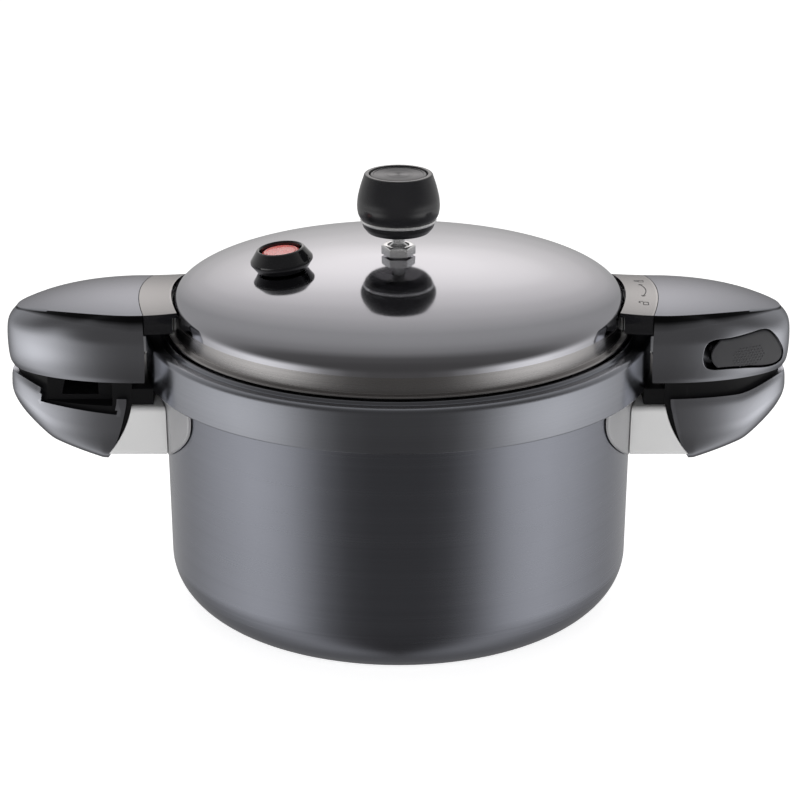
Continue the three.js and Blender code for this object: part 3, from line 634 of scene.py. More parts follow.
# ---- lower handles and their sleeves ----
def end_curve(z, top_x, bottom_x, top=BRACKET_TOP, bottom=BRACKET_LOW):
    """Where the hollow end of a sleeve or shell lies at a height: it leans out as it goes down."""
    if z >= top:
        return top_x
    t = (top - z) / (top - bottom)
    return (1 - t) ** 2 * top_x + 2 * t * (1 - t) * (top_x + 0.18 * (bottom_x - top_x)) + t * t * bottom_x


def build_bracket(side):
    half, bottom, top, sheet, bend = BRACKET_HALF, BRACKET_LOW, BRACKET_TOP, SHEET, 2.6
    steps = 8

    def outline(inset):
        h, low, high, r = half - inset, bottom + inset, top - inset, bend - inset * 0.7
        points = []
        middles = ((h - r, high - r), (r - h, high - r), (r - h, low + r), (h - r, low + r))
        for turn, (cy, cz) in enumerate(middles):
            for k in range(steps + 1):
                angle = math.radians(90 * turn + 90 * k / steps)
                points.append((cy + r * math.cos(angle), cz + r * math.sin(angle)))
        dense = []
        for (y0, z0), (y1, z1) in zip(points, points[1:] + points[:1]):
            pieces = max(1, int(math.hypot(y1 - y0, z1 - z0) / 2.4))
            dense += [(y0 + (y1 - y0) * k / pieces, z0 + (z1 - z0) * k / pieces) for k in range(pieces)]
        return dense

    stations = 14
    verts, loops = [], []
    outer, thin = outline(0), outline(sheet)
    inner = [min(thin, key=lambda p, y=y, z=z: (p[0] - y) ** 2 + (p[1] - z) ** 2) for y, z in outer]
    for ring in (outer, inner):
        for s in range(stations + 1):
            loop = []
            for y, z in ring:
                wall = math.sqrt((pot_radius(z) + FLANGE_THICK + 0.6) ** 2 - y * y)
                end = end_curve(z, 118.5, 129.5)
                loop.append(len(verts))
                verts.append((wall + (end - wall) * s / stations, y, z))
            loops.append(loop)
    faces = []
    count = len(outer)
    sequence = loops[: stations + 1] + loops[stations + 1:][::-1]
    for a, b in zip(sequence, sequence[1:] + sequence[:1]):
        faces += [(a[k], a[(k + 1) % count], b[(k + 1) % count], b[k]) for k in range(count)]
    sleeve = soften(make_object(f"sleeve_{side}", verts, faces, SKIN["steel"]), 0.3, 2, 50)
    tongue = soften(box("tongue", (107.6, ARM_END), (-ARM_HALF, ARM_HALF), (90, 92.4), SKIN["steel"]), 0.3)
    bracket = merged(f"bracket_{side}", [sleeve, tongue])
    return finished(on_side(bracket, side), "pot", "bracket_steel", f"pot_bracket_{side}")


def lower_bottom(x):
    """The underside is flat near the pot and sweeps up toward the tip."""
    corner = 1.2
    faster = corner * math.log1p(math.exp((x - 155) / corner))
    return 75.2 + 0.29 * max(0, x - 132) + 0.42 * faster


def lower_rim(x):
    return 105.8 + 5.4 * smoothstep(x, 150, 174)


def notch_floor(x):
    return 98.7 + 0.085 * (x - 127)


def notch_level(x):
    """The notch's floor as a share of the way from the bottom to the rim."""
    bottom = lower_bottom(x)
    return (notch_floor(x) - bottom) / (lower_rim(x) - bottom)


# Share of the way from the bottom's edge to the rim, then how far out from the middle, how far
# drawn in, and the power of the outline, which is 2 for an ellipse and less for a pointed tip.
LOWER_SECTION = [
    (0, 0.72, 0, 2),
    (0.06, 0.88, 0, 2),
    (0.2, 0.965, 0, 2),
    (0.5, 1, 0, 1.95),
    (0.85, 1, 0.2, 1.88),
    (1, 1, 0.7, 1.85),
]
NOTCH_X = (125.0, 159.5)


def outline_shares(angle, power):
    """How far along and across a handle's outline a point lies, from -1 to 1."""
    bend = 2 / power if math.cos(angle) > 0 else 1
    blunt = 1 + (bend - 1) * smoothstep(abs(math.sin(angle)), 0, 0.55)
    along = math.copysign(abs(math.cos(angle)) ** bend, math.cos(angle))
    return along, math.copysign(abs(math.sin(angle)) ** blunt, math.sin(angle))


def lower_point(angle, level, inset=0.0):
    """A place on the lower handle's outside. The level runs from the bottom's edge to the rim."""
    share, draw, power = curve_through(LOWER_SECTION, min(1, level))
    share = min(share, 1.0)
    along, sideways = outline_shares(angle, power)
    axis = LOWER_TIP if along > 0 else LOWER_BACK
    x = LOWER_X + share * (axis - draw - inset) * along
    y = share * (LOWER_HALF - draw - inset) * sideways
    bottom = lower_bottom(x) + inset
    return Vector((x, y, bottom + (lower_rim(x) - bottom) * level))


def end_angle(function, stop):
    """The angle at which a point of the outline reaches its end, found by halving."""
    low, high = math.radians(60), math.radians(150)
    for _ in range(36):
        middle = (low + high) / 2
        if stop(function(middle)):
            high = middle
        else:
            low = middle
    return low


def column_shares(half, power=1.0):
    """Places along an outline, from 1 at one end through 0 at the tip to -1 at the other."""
    return [math.copysign(abs(k / half) ** power, -k) for k in range(-half, half + 1)]


def lower_grid(levels, columns, inset, end_top, end_bottom, notch_row=None):
    """Rows of points round the handle's outside, from the +Y end round the tip to the -Y end."""
    rows = []
    for index, level in enumerate(levels):
        def place(angle, shift=level):
            return lower_point(angle, shift, inset)

        last = end_angle(place, lambda p: p.x < end_curve(p.z, end_top, end_bottom, 104, 75))
        row = []
        for column in columns:
            angle = column * last
            point = place(angle)
            if notch_row is not None:
                line = notch_level(point.x)
                if index <= notch_row:
                    bent = line * (index / notch_row) ** 1.25
                else:
                    bent = line + (1 - line) * ((index - notch_row) / (len(levels) - 1 - notch_row))
                point = lower_point(angle, bent, inset)
            row.append(point)
        rows.append(row)
    return rows


def build_lower_shell(side):
    half_columns = 64
    columns = column_shares(half_columns, 0.92)
    notch_row, count = 20, 28
    levels = [k / (count - 1) for k in range(count)]
    rows = lower_grid(levels, columns, 0, LOWER_END_TOP, LOWER_END_LOW, notch_row)
    across = 20
    verts, index = [], []
    for row in rows:
        index.append(list(range(len(verts), len(verts) + len(row))))
        verts += row
    faces = []
    wide = len(columns)
    for r in range(count - 1):
        for c in range(wide - 1):
            middle = (rows[r][c] + rows[r + 1][c + 1]) / 2
            if r >= notch_row and middle.y > 0 and NOTCH_X[0] < middle.x < NOTCH_X[1]:
                continue
            faces.append((index[r][c], index[r][c + 1], index[r + 1][c + 1], index[r + 1][c]))
    previous = None
    for k in range(half_columns + 1):
        left, right = index[0][k], index[0][wide - 1 - k]
        if left == right:
            line = [left]
        else:
            line = [left]
            a, b = Vector(verts[left]), Vector(verts[right])
            for m in range(1, across):
                verts.append(a.lerp(b, m / across))
                line.append(len(verts) - 1)
            line.append(right)
        if previous:
            for m in range(across):
                if len(line) == 1:
                    faces.append((previous[m], previous[m + 1], line[0]))
                else:
                    faces.append((previous[m], previous[m + 1], line[m + 1], line[m]))
        previous = line
    shell = make_object(f"lower_handle_{side}", verts, faces, SKIN["lacquer"])
    orient(shell)
    thick = shell.modifiers.new("thickness", "SOLIDIFY")
    thick.thickness = LOWER_SHELL * MM
    thick.offset = -1
    thick.use_even_offset = False
    apply_modifiers(shell)
    screw_hole = at_screw(turned("hole", [(0, 70), (4.7, 70), (4.7, 100), (0, 100)], SKIN["lacquer"], 48))
    cut(shell, screw_hole)
    soften(shell, 0.55, 3, 48)
    return finished(on_side(shell, side), "pot", "handle_paint", f"pot_handle_{side}")


def orient(piece, centre=(140, 0, 100)):
    """Turns the faces of an open sheet away from a point inside it."""
    work = bmesh.new()
    work.from_mesh(piece.data)
    middle = Vector(centre) * MM
    outward = sum(1 if (f.calc_center_median() - middle).dot(f.normal) > 0 else -1 for f in work.faces)
    if outward < 0:
        bmesh.ops.reverse_faces(work, faces=work.faces)
    work.to_mesh(piece.data)
    work.free()


def closed_grid(name, rows, material):
    """A solid from rows of points that run round a tip: it closes bottom, top and the open end."""
    verts = [point for row in rows for point in row]
    wide = len(rows[0])
    index = [list(range(r * wide, (r + 1) * wide)) for r in range(len(rows))]
    faces = []
    for r in range(len(rows) - 1):
        for c in range(wide - 1):
            faces.append((index[r][c], index[r][c + 1], index[r + 1][c + 1], index[r + 1][c]))
        faces.append((index[r][wide - 1], index[r][0], index[r + 1][0], index[r + 1][wide - 1]))
    for loop in (index[0], index[-1]):
        for k in range(wide // 2):
            a, b = loop[k], loop[k + 1]
            c, d = loop[wide - 2 - k], loop[wide - 1 - k]
            faces.append((a, b, c, d) if b != c else (a, b, d))
    return make_object(name, verts, faces, material)


def build_insert(side):
    """The black moulding in the lower handle, with a tray on top and a finger pocket in one side."""
    columns = column_shares(48)
    levels = [0.0, 0.02, 0.06, 0.12, 0.2, 0.3, 0.45, 0.6, 0.75, 0.88, 1.0]
    rows = lower_grid(levels, columns, LOWER_SHELL + 0.35, LOWER_END_TOP - 2.4, LOWER_END_LOW - 2.4)
    insert_top = cad_span("pot_handle_insert_right", Z)[1]
    lifted = []
    for point in rows[-1]:
        lifted.append(Vector((point.x, point.y * 0.995, insert_top)))
    rows.append(lifted)
    black = SKIN["black"]
    insert = closed_grid(f"insert_{side}", rows, black)
    join(insert, box("cover", (108.9, 128), (-25, 25), (BRACKET_TOP + 0.3, 109.5), black))
    tray_rows = lower_grid([0.6, 0.8, 1.0], columns, LOWER_SHELL + 4.4, 134, 134)
    for height, row in zip((104, 108, 116), tray_rows):
        for k, point in enumerate(row):
            row[k] = Vector((max(133.0, point.x), point.y, height))
    cut(insert, closed_grid("tray", tray_rows, black))
    cut_box(insert, (NOTCH_X[0] + 2, NOTCH_X[1] - 2.5), (16.5, 45), (101.6, 125))
    cut_box(insert, (100, 153), (-11.6, 11.6), (89.7, 92.7))
    stepped = [(0, 70), (4.6, 70), (4.6, 85.5), (2.6, 85.5), (2.6, 97), (0, 97)]
    hole = at_screw(turned("hole", stepped, black, 40))
    cut(insert, hole)
    soften(insert, 0.45, 2, 50)
    return finished(on_side(insert, side), "pot", "black_plastic", f"pot_handle_insert_{side}")


def build_screw(body, side):
    """A pan head screw seen from below, with a cross recess."""
    node = f"{body}_handle_screw_{side}"
    head_z, top = cad_span(node, Z)
    shoulder = head_z + 2.9
    profile = rounded(
        [
            (0, head_z), (3.6, head_z, 0.8), (4.2, head_z + 1.1, 0.5), (4.2, shoulder, 0.2),
            (2.2, shoulder, 0.1), (2.2, top, 0.5), (0, top),
        ]
    )
    screw = turned(f"{body}_screw_{side}", profile, SKIN["screw"], 56)
    low, deep = head_z - 1, head_z + 1.4
    for x, y in ((0.55, 2.7), (2.7, 0.55)):
        cut_box(screw, (-x, x), (-y, y), (low, deep))
    soften(screw, 0.12, 1, 40)
    at_screw(screw)
    return finished(on_side(screw, side), body, "screw_steel", node)


# ---- upper handles ----
# Height, then how far the tip and the sides draw in there, the depth of the finger groove, and the
# power of the outline.
UPPER_SECTION = [
    (HANDLE_BOTTOM, 2.3, 1.8, 0, 1.85),
    (116.5, 0.8, 0.7, 0, 1.85),
    (124, 0, 0, 0, 1.85),
    (132, 0.1, 0, 0, 1.82),
    (137, 0.7, 0.1, 0.75, 1.78),
    (140.6, 1.8, 0.2, 1, 1.72),
    (143.4, 3.3, 0.5, 0.35, 1.65),
    (CREASE_Z, 4.8, 0.8, 0, 1.6),
]


def top_sweep(x, z):
    """How much lower the top lies than drawn: it falls to the tip and rises a little to the lid."""
    tipward = max(0.0, x - HANDLE_X) / TIP_AXIS
    lidward = min(1.4, max(0.0, HANDLE_X - x) / 15)
    topness = min(1.0, max(0.0, (z - SIDE_TOP) / CROWN_RISE))
    return topness**2 * (TIP_DROP * tipward**3 - LID_RISE * lidward**2)


def upper_point(angle, z, inset=0.0):
    """A place on the upper handle's side. Angle 0 is the tip and a quarter turn is the +Y side."""
    tip, side, groove, power = curve_through(UPPER_SECTION, z)
    along, sideways = outline_shares(angle, power)
    axis = TIP_AXIS - tip - inset if along > 0 else LID_AXIS - inset
    x = HANDLE_X + axis * along
    groove = GROOVE_DEPTH * max(0, groove) * (1 - smoothstep(x, 124, 152))
    half = HANDLE_HALF - side - inset - groove
    return Vector((x, half * sideways, z - top_sweep(x, z)))


def crown_height(x, y, crease_y):
    """The height of the handle's crowned top."""
    along = max(0.0, x - HANDLE_X) / (TIP_AXIS - UPPER_SECTION[-1][1])
    across = y / max(crease_y, 1e-6)
    inside = max(0.0, 1 - min(1.0, along**2 + across**2 * (1 - along**2)))
    return CREASE_Z - top_sweep(x, CREASE_Z) + CROWN * inside**0.9


def side_rows(heights, columns, inset, stop_radius):
    rows = []
    for z in heights:
        last = end_angle(lambda a, z=z: upper_point(a, z, inset), lambda p: p.xy.length < stop_radius)
        rows.append([upper_point(column * last, z, inset) for column in columns])
    return rows


class Patchwork:
    """Collects vertices and faces of a surface made of several grids."""

    def __init__(self):
        self.verts, self.faces = [], []

    def grid(self, rows, skip=None):
        """A grid of points. Faces whose row and column pass the skip test are left out."""
        start = len(self.verts)
        wide = len(rows[0])
        for row in rows:
            self.verts += row
        for r in range(len(rows) - 1):
            for c in range(wide - 1):
                if skip and skip(r, c):
                    continue
                a = start + r * wide + c
                self.faces.append((a, a + 1, a + wide + 1, a + wide))

    def loops(self, loops, fill=False):
        """Joins closed loops that all have the same number of points."""
        start = len(self.verts)
        count = len(loops[0])
        for loop in loops:
            self.verts += loop
        for r in range(len(loops) - 1):
            for c in range(count):
                a, b = start + r * count + c, start + r * count + (c + 1) % count
                self.faces.append((a, b, b + count, a + count))
        if fill:
            self.faces.append(tuple(range(start + (len(loops) - 1) * count, start + len(loops) * count)))

    def built(self, name, material):
        return make_object(name, self.verts, self.faces, material)


def across_lines(edge, pieces, place):
    """Lines that join the two sides of a symmetric edge, from its open end to its tip."""
    wide = len(edge)
    lines = []
    for k in range(wide // 2 + 1):
        a, b = edge[k], edge[wide - 1 - k]
        lines.append([place(a.lerp(b, m / pieces), k, a) for m in range(pieces + 1)])
    return lines


def on_cylinder(points, radius):
    """Moves points along X onto a cylinder round the pot's axis."""
    for point in points:
        point.x = math.sqrt(radius**2 - point.y**2)


def bent_to_cylinder(point, start, end_x, radius, reach=16.0):
    """Moves a point toward the lid so that the lines near the open end follow its round edge."""
    fade = max(0.0, 1 - (start.x - end_x) / reach)
    target = math.sqrt(max(0.0, radius**2 - point.y**2))
    return point.x + (target - end_x) * fade


LOCK_MIDDLE = 125.0
LOCK_OUTLINE = [
    (134.0, 125.4), (135.2, 130.8), (138.8, 133.2), (147, 133.7), (155, 134.7), (160.5, 135.3),
    (164.5, 134.3), (168.2, 130.4), (171.2, 125), (172.2, 121.2), (171.4, 118.2), (168.4, 116.6),
    (163, 116.8), (155, 118.2), (146, 118.9), (138.8, 119.2), (135.2, 121),
]


def closed_curve(points, count):
    """Points at even spacing on a smooth closed curve through the given ones."""
    dense = []
    total = len(points)
    for i in range(total):
        p = [Vector(points[(i + k - 1) % total]) for k in range(4)]
        for m in range(12):
            t = m / 12
            dense.append(
                0.5
                * (
                    2 * p[1]
                    + (p[2] - p[0]) * t
                    + (2 * p[0] - 5 * p[1] + 4 * p[2] - p[3]) * t * t
                    + (3 * p[1] - p[0] - 3 * p[2] + p[3]) * t**3
                )
            )
    lengths = [0.0]
    for a, b in zip(dense, dense[1:] + dense[:1]):
        lengths.append(lengths[-1] + (b - a).length)
    result, k = [], 0
    for m in range(count):
        want = lengths[-1] * m / count
        while lengths[k + 1] < want:
            k += 1
        share = (want - lengths[k]) / (lengths[k + 1] - lengths[k])
        result.append(dense[k].lerp(dense[(k + 1) % len(dense)], share))
    return result


def signed_area(loop):
    """Twice a loop's area, above zero where it runs counterclockwise."""
    return sum(a.x * b.y - a.y * b.x for a, b in zip(loop, loop[1:] + loop[:1]))


def drawn_in(loop, distance):
    """Moves a closed loop's points inward by a distance."""
    count = len(loop)
    sign = 1 if signed_area(loop) > 0 else -1
    result = []
    for k in range(count):
        along = (loop[(k + 1) % count] - loop[k - 1]).normalized()
        result.append(loop[k] + Vector((-along.y, along.x)) * sign * distance)
    return result


def front_axis(z, inset=0.0):
    """The tip's half length and the outline's power at a height."""
    tip, _, _, power = curve_through(UPPER_SECTION, z)
    return TIP_AXIS - tip - inset, power


def front_angle(x, z, inset=0.0):
    axis, power = front_axis(z, inset)
    share = max(0.0, min(1.0, (x - HANDLE_X) / axis))
    return math.acos(share ** (power / 2))


def front_point(x, height, inset=0.0):
    """The place on the handle's front side at an x and a height."""
    z = height
    for _ in range(6):
        z = height + top_sweep(x, z)
    point = upper_point(-front_angle(x, z, inset), z, inset)
    return Vector((x, point.y, height))


def pocket_floor(x):
    """How far back the lock pocket reaches."""
    axis, power = front_axis(LOCK_MIDDLE, 9.5)
    share = min(1.0, max(0.0, (x - HANDLE_X) / axis))
    return min(-8.0, -(HANDLE_HALF - 9.5) * (1 - share**power) ** (1 / power))


def rotated_to(loop, target):
    """The loop started, and run, so that its points lie nearest to the target's."""
    centre = sum(loop, Vector((0, 0))) / len(loop)
    middle = sum(target, Vector((0, 0))) / len(target)
    want = target[0] - middle
    best = min(range(len(loop)), key=lambda k: -(loop[k] - centre).normalized().dot(want.normalized()))
    turned_loop = loop[best:] + loop[:best]
    if signed_area(turned_loop) * signed_area(target) < 0:
        turned_loop = [turned_loop[0]] + turned_loop[:0:-1]
    return turned_loop


def build_upper_handle(side):
    with_lock = side == "right"
    columns = column_shares(72)
    heights = [HANDLE_BOTTOM, 114.1, 114.9, 115.7, 116.6, 118, 119.6, 121.2, 122.8, 124.4, 126, 127.6]
    heights += [129.2, 130.8, 132.4, 133.8, 135.1, 136.4, 137.6, 138.7, 139.8, 140.8, 141.8, 142.7]
    heights += [143.6, 144.4, CREASE_Z]
    sides = side_rows(heights, columns, 0, HANDLE_R)
    surface = Patchwork()
    if with_lock:
        low, high = 3, 19
        first = next(k for k, p in enumerate(sides[9]) if p.y < 0 and p.x < 174.2)
        last = next(k for k, p in enumerate(sides[9]) if k > first and p.x < 132.0)
        surface.grid(sides, lambda r, c: low <= r < high and first <= c < last)
        ring = [(r, first) for r in range(low, high)] + [(high, c) for c in range(first, last)]
        ring += [(r, last) for r in range(high, low, -1)] + [(low, c) for c in range(last, first, -1)]
        rim = [sides[r][c] for r, c in ring]
        flat_rim = [Vector((p.x, p.z)) for p in rim]
        outline = rotated_to(closed_curve(LOCK_OUTLINE, len(rim)), flat_rim)
        add_lock_pocket(surface, rim, outline)
    else:
        surface.grid(sides)

    edge = sides[-1]
    end_x = edge[0].x

    def on_top(point, k, start):
        x = bent_to_cylinder(point, start, end_x, HANDLE_R)
        return Vector((x, point.y, crown_height(x, point.y, abs(start.y))))

    top = across_lines(edge, 24, on_top)
    for line, left, right in zip(top, edge, reversed(edge)):
        line[0], line[-1] = left.copy(), right.copy()
    surface.grid(top)

    wall = []
    for row in sides:
        a, b = row[0], row[-1]
        wall.append([a.lerp(b, m / 24) for m in range(25)])
        on_cylinder(wall[-1][1:-1], HANDLE_R)
    wall[-1] = top[0]
    surface.grid(wall)

    rim_inset, recess = 2.6, 3.4
    inner = side_rows([HANDLE_BOTTOM], columns, rim_inset, HANDLE_R + rim_inset)[0]
    upper = [Vector((p.x, p.y, p.z + recess)) for p in inner]
    surface.grid([sides[0], inner, upper])
    outer_end = wall[0]
    inner_end = [inner[0].lerp(inner[-1], m / 24) for m in range(25)]
    on_cylinder(inner_end[1:-1], HANDLE_R + rim_inset)
    surface.grid([outer_end, inner_end, [Vector((p.x, p.y, p.z + recess)) for p in inner_end]])

    def ceiling(point, k, start):
        x = bent_to_cylinder(point, start, upper[0].x, HANDLE_R + rim_inset)
        return Vector((x, point.y, start.z))

    roof = across_lines(upper, 24, ceiling)
    surface.grid(roof)
    handle = surface.built(f"upper_handle_{side}", SKIN["upper"])
    if with_lock:
        cut_box(handle, (138, 157), (-24, -8), (121, 128))
        cut_box(handle, (108, 157.5), (-13.2, -6.8), (121.4, 127.6))
    half = ARM_HALF + ARM_GAP
    cut_box(handle, (108, ARM_END + ARM_GAP), (-half, half), (ARM_LOW - ARM_GAP, ARM_TOP + ARM_GAP))
    soften(handle, 0.5, 3, 42)
    return finished(on_side(handle, side), "lid", "handle_paint", f"lid_handle_{side}")


def add_lock_pocket(surface, rim, outline):
    """Joins the window's rim to the pocket's outline, rounds the edge and sinks the pocket."""
    count = len(rim)
    loops = [rim]
    flat = [Vector((p.x, p.z)) for p in rim]
    for share in (0.35, 0.65, 0.85, 0.95):
        loops.append([])
        for start, goal in zip(flat, outline):
            a0, a1 = front_angle(start.x, start.y), front_angle(goal.x, goal.y)
            angle = a0 + (a1 - a0) * share
            z = start.y + (goal.y - start.y) * share
            axis, power = front_axis(z)
            loops[-1].append(front_point(HANDLE_X + axis * outline_shares(angle, power)[0], z))
    for inward, back in ((0.0, 0.0), (0.05, 0.05), (0.1, 0.2), (0.14, 0.5), (0.16, 1.0), (0.2, 2.4)):
        ring = drawn_in(outline, inward)
        loops.append([front_point(p.x, p.y) + Vector((0, back, 0)) for p in ring])
    ring = drawn_in(outline, 0.25)
    loops.append([Vector((p.x, max(front_point(p.x, p.y).y + 2.4, pocket_floor(p.x)), p.y)) for p in ring])
    centre = sum(ring, Vector((0, 0))) / count
    for share in (0.7, 0.4, 0.15):
        inner = [centre.lerp(p, share) for p in ring]
        loops.append([Vector((p.x, pocket_floor(p.x), p.y)) for p in inner])
    surface.loops(loops, fill=True)


def cap_section(radius):
    """The upper handle's section where it crosses a cylinder, from one lower edge to the other."""
    heights = [CAP_BOTTOM, 137.4, 138.6, 139.7, 140.8, 141.8, 142.7, 143.6, 144.4, CREASE_Z]
    right = []
    for z in heights:
        angle = end_angle(lambda a, z=z: upper_point(a, z), lambda p: p.xy.length < radius)
        right.append(upper_point(angle, z))
    crease = right[-1]
    across = 36
    top = []
    for m in range(1, across):
        y = crease.y * (1 - 2 * m / across)
        x = math.sqrt(radius**2 - y**2)
        top.append(Vector((x, y, crown_height(x, y, crease.y))))
    left = [Vector((p.x, -p.y, p.z)) for p in reversed(right)]
    return right + top + left


def build_cap(side):
    stations = 12
    surface = Patchwork()
    sections = [cap_section(CAP_LIP + (CAP_OUT - CAP_LIP) * s / stations) for s in range(stations + 1)]
    for section in sections:
        a, b = section[-1], section[0]
        radius = a.xy.length
        for m in range(1, 16):
            y = a.y + (b.y - a.y) * m / 16
            section.append(Vector((math.sqrt(radius**2 - y**2), y, CAP_BOTTOM)))
    surface.loops(sections)
    for section in (sections[0], sections[-1]):
        body = section[: len(section) - 15]
        lower = [Vector((math.sqrt(section[0].xy.length**2 - p.y**2), p.y, CAP_BOTTOM)) for p in body]
        surface.grid([body, lower])
    cap = surface.built(f"upper_handle_cap_{side}", SKIN["cap"])
    cut(cap, turned("foot_way", [(0, 130), (CAP_IN, 130), (CAP_IN, 143.8), (0, 143.8)], SKIN["cap"]))
    # Known fault: this cut leaves its box joined to the cap.
    cut_box(cap, (90, 130), (-13, 13), (130, 141.2))
    soften(cap, 0.45, 3, 42)
    # Painted shade: the cap's sides get near-black gloss while its top keeps the lighter lacquer, standing in
    # for the sides falling dark in the light.
    paint_faces(cap, SKIN["gloss"], lambda centre, normal: normal.z < 0.5)
    return finished(on_side(cap, side), "lid", "cap_paint", f"lid_handle_cap_{side}")


def cap_surface(x, y):
    crease = end_angle(
        lambda a: upper_point(a, CREASE_Z), lambda p: p.xy.length < math.hypot(x, y)
    )
    return crown_height(x, y, abs(upper_point(crease, CREASE_Z).y))


def stroke(path, width, lift=0.06):
    """A flat ribbon laid on the cap, along points in plan."""
    rows = []
    for k, point in enumerate(path):
        here = Vector(point)
        before = Vector(path[max(0, k - 1)])
        after = Vector(path[min(len(path) - 1, k + 1)])
        along = (after - before).normalized()
        side = Vector((-along.y, along.x)) * width / 2
        rows.append([here - side, here + side])
    verts, faces = [], []
    for a, b in rows:
        for height in (lift, -0.15):
            verts += [(p.x, p.y, cap_surface(p.x, p.y) + height) for p in (a, b)]
    for k in range(len(rows) - 1):
        i, j = 4 * k, 4 * k + 4
        faces += [(i, i + 1, j + 1, j), (i + 2, j + 2, j + 3, i + 3)]
        faces += [(i, j, j + 2, i + 2), (i + 1, i + 3, j + 3, j + 1)]
    last = 4 * (len(rows) - 1)
    faces += [(0, 2, 3, 1), (last, last + 1, last + 3, last + 2)]
    return make_object("stroke", verts, faces, SKIN["print"], smooth=False)


def arc_path(centre, radius, start, end, steps=14):
    return [
        (centre[0] + radius * math.cos(math.radians(a)), centre[1] + radius * math.sin(math.radians(a)))
        for a in [start + (end - start) * k / steps for k in range(steps + 1)]
    ]


def padlock(x, y, swing):
    """An outlined padlock that lies on its side. The swing opens its shackle."""
    body = [(x, y - 1.5), (x + 2.2, y - 1.5), (x + 2.2, y + 1.5), (x, y + 1.5), (x, y - 1.5)]
    shackle = [(x, y + 1.0 + swing)] + arc_path((x - 0.9, y + swing), 1.0, 90, 270) + [(x, y - 1.0 + swing)]
    outline = [stroke([a, b], 0.36) for a, b in zip(body, body[1:])]
    return outline + [stroke(shackle[: len(shackle) - (2 if swing else 0)], 0.36)]


def build_icons():
    """A closed padlock, an open one, and the arrow between them, printed on the right cap."""
    parts = padlock(108.4, 15.2, 0) + padlock(108.2, -17.2, 1.4)
    path = arc_path((91.4, 0.3), 19.2, 28, -27, 24)
    parts.append(stroke(path, 0.42))
    for end, inner in ((path[0], path[3]), (path[-1], path[-4])):
        along = (Vector(end) - Vector(inner)).normalized()
        across = Vector((-along.y, along.x))
        for turn in (1, -1):
            tail = Vector(end) - along * 1.3 + across * turn * 0.9
            parts.append(stroke([tuple(end), tuple(tail)], 0.4))
    return finished(merged("cap_icons", parts), "lid", "black_plastic")


def build_lid_base(side):
    columns = column_shares(40)
    inset = 2.9
    edge = side_rows([HANDLE_BOTTOM], columns, inset, HANDLE_R + inset)[0]
    end = [edge[-1].lerp(edge[0], m / 16) for m in range(1, 16)]
    on_cylinder(end, HANDLE_R + inset)
    outline = [(p.x, p.y) for p in edge + end]
    plate = prism(f"upper_handle_base_{side}", outline, 113.75, 116.3, SKIN["black"])
    ribs = [
        box("rib", (x - 0.7, x + 0.7), (-18, 18), (113.0, 114.4), SKIN["black"]) for x in (124, 130, 152, 158)
    ]
    for rib in ribs:
        cut(plate, rib)
    hole = at_screw(turned("hole", [(0, 112), (4.7, 112), (4.7, 117), (0, 117)], SKIN["black"], 48))
    cut(plate, hole)
    soften(plate, 0.25, 2, 40)
    return finished(on_side(plate, side), "lid", "black_plastic", f"lid_handle_base_{side}")


def build_lid_bracket(side):
    low, high = cad_span("lid_handle_bracket_right", Z)
    foot = prism("foot", sector_outline(LID_R + 0.3, LID_R + 1.9, 0, 20, 24), low, high, SKIN["steel"])
    arm = box("arm", (LID_R + 1, ARM_END), (-ARM_HALF, ARM_HALF), (ARM_LOW, ARM_TOP), SKIN["steel"])
    join(foot, arm)
    foot.name = f"lid_bracket_{side}"
    soften(foot, 0.3, 2, 40)
    return finished(on_side(foot, side), "lid", "bracket_steel", f"lid_handle_bracket_{side}")


# ---- lid ----
def dome_profile(inset, steps):
    """From the apex outward."""
    points = []
    for k in range(steps + 1):
        angle = math.pi / 2 * k / steps
        radius = (LID_R - inset) * math.sin(angle) ** (2 / 1.5)
        height = LID_SHOULDER + (LID_APEX - LID_SHOULDER - inset) * math.cos(angle) ** (2 / 3.04)
        points.append((radius, height))
    return points


def dome_height(radius):
    return LID_SHOULDER + (LID_APEX - LID_SHOULDER) * (1 - (radius / LID_R) ** 1.5) ** (1 / 3.04)


INDICATOR_X, INDICATOR_Y, INDICATOR_TILT = -51.0, -12.0, 6.3


def on_dome(piece):
    """Stands a piece drawn on the Z axis square on the dome at the indicator's place."""
    bearing = math.atan2(INDICATOR_Y, INDICATOR_X)
    height = dome_height(math.hypot(INDICATOR_X, INDICATOR_Y))
    place = Matrix.Translation(Vector((INDICATOR_X, INDICATOR_Y, height)) * MM)
    turn = Matrix.Rotation(bearing, 4, "Z") @ Matrix.Rotation(math.radians(INDICATOR_TILT), 4, "Y")
    piece.data.transform(place @ turn)
    return piece


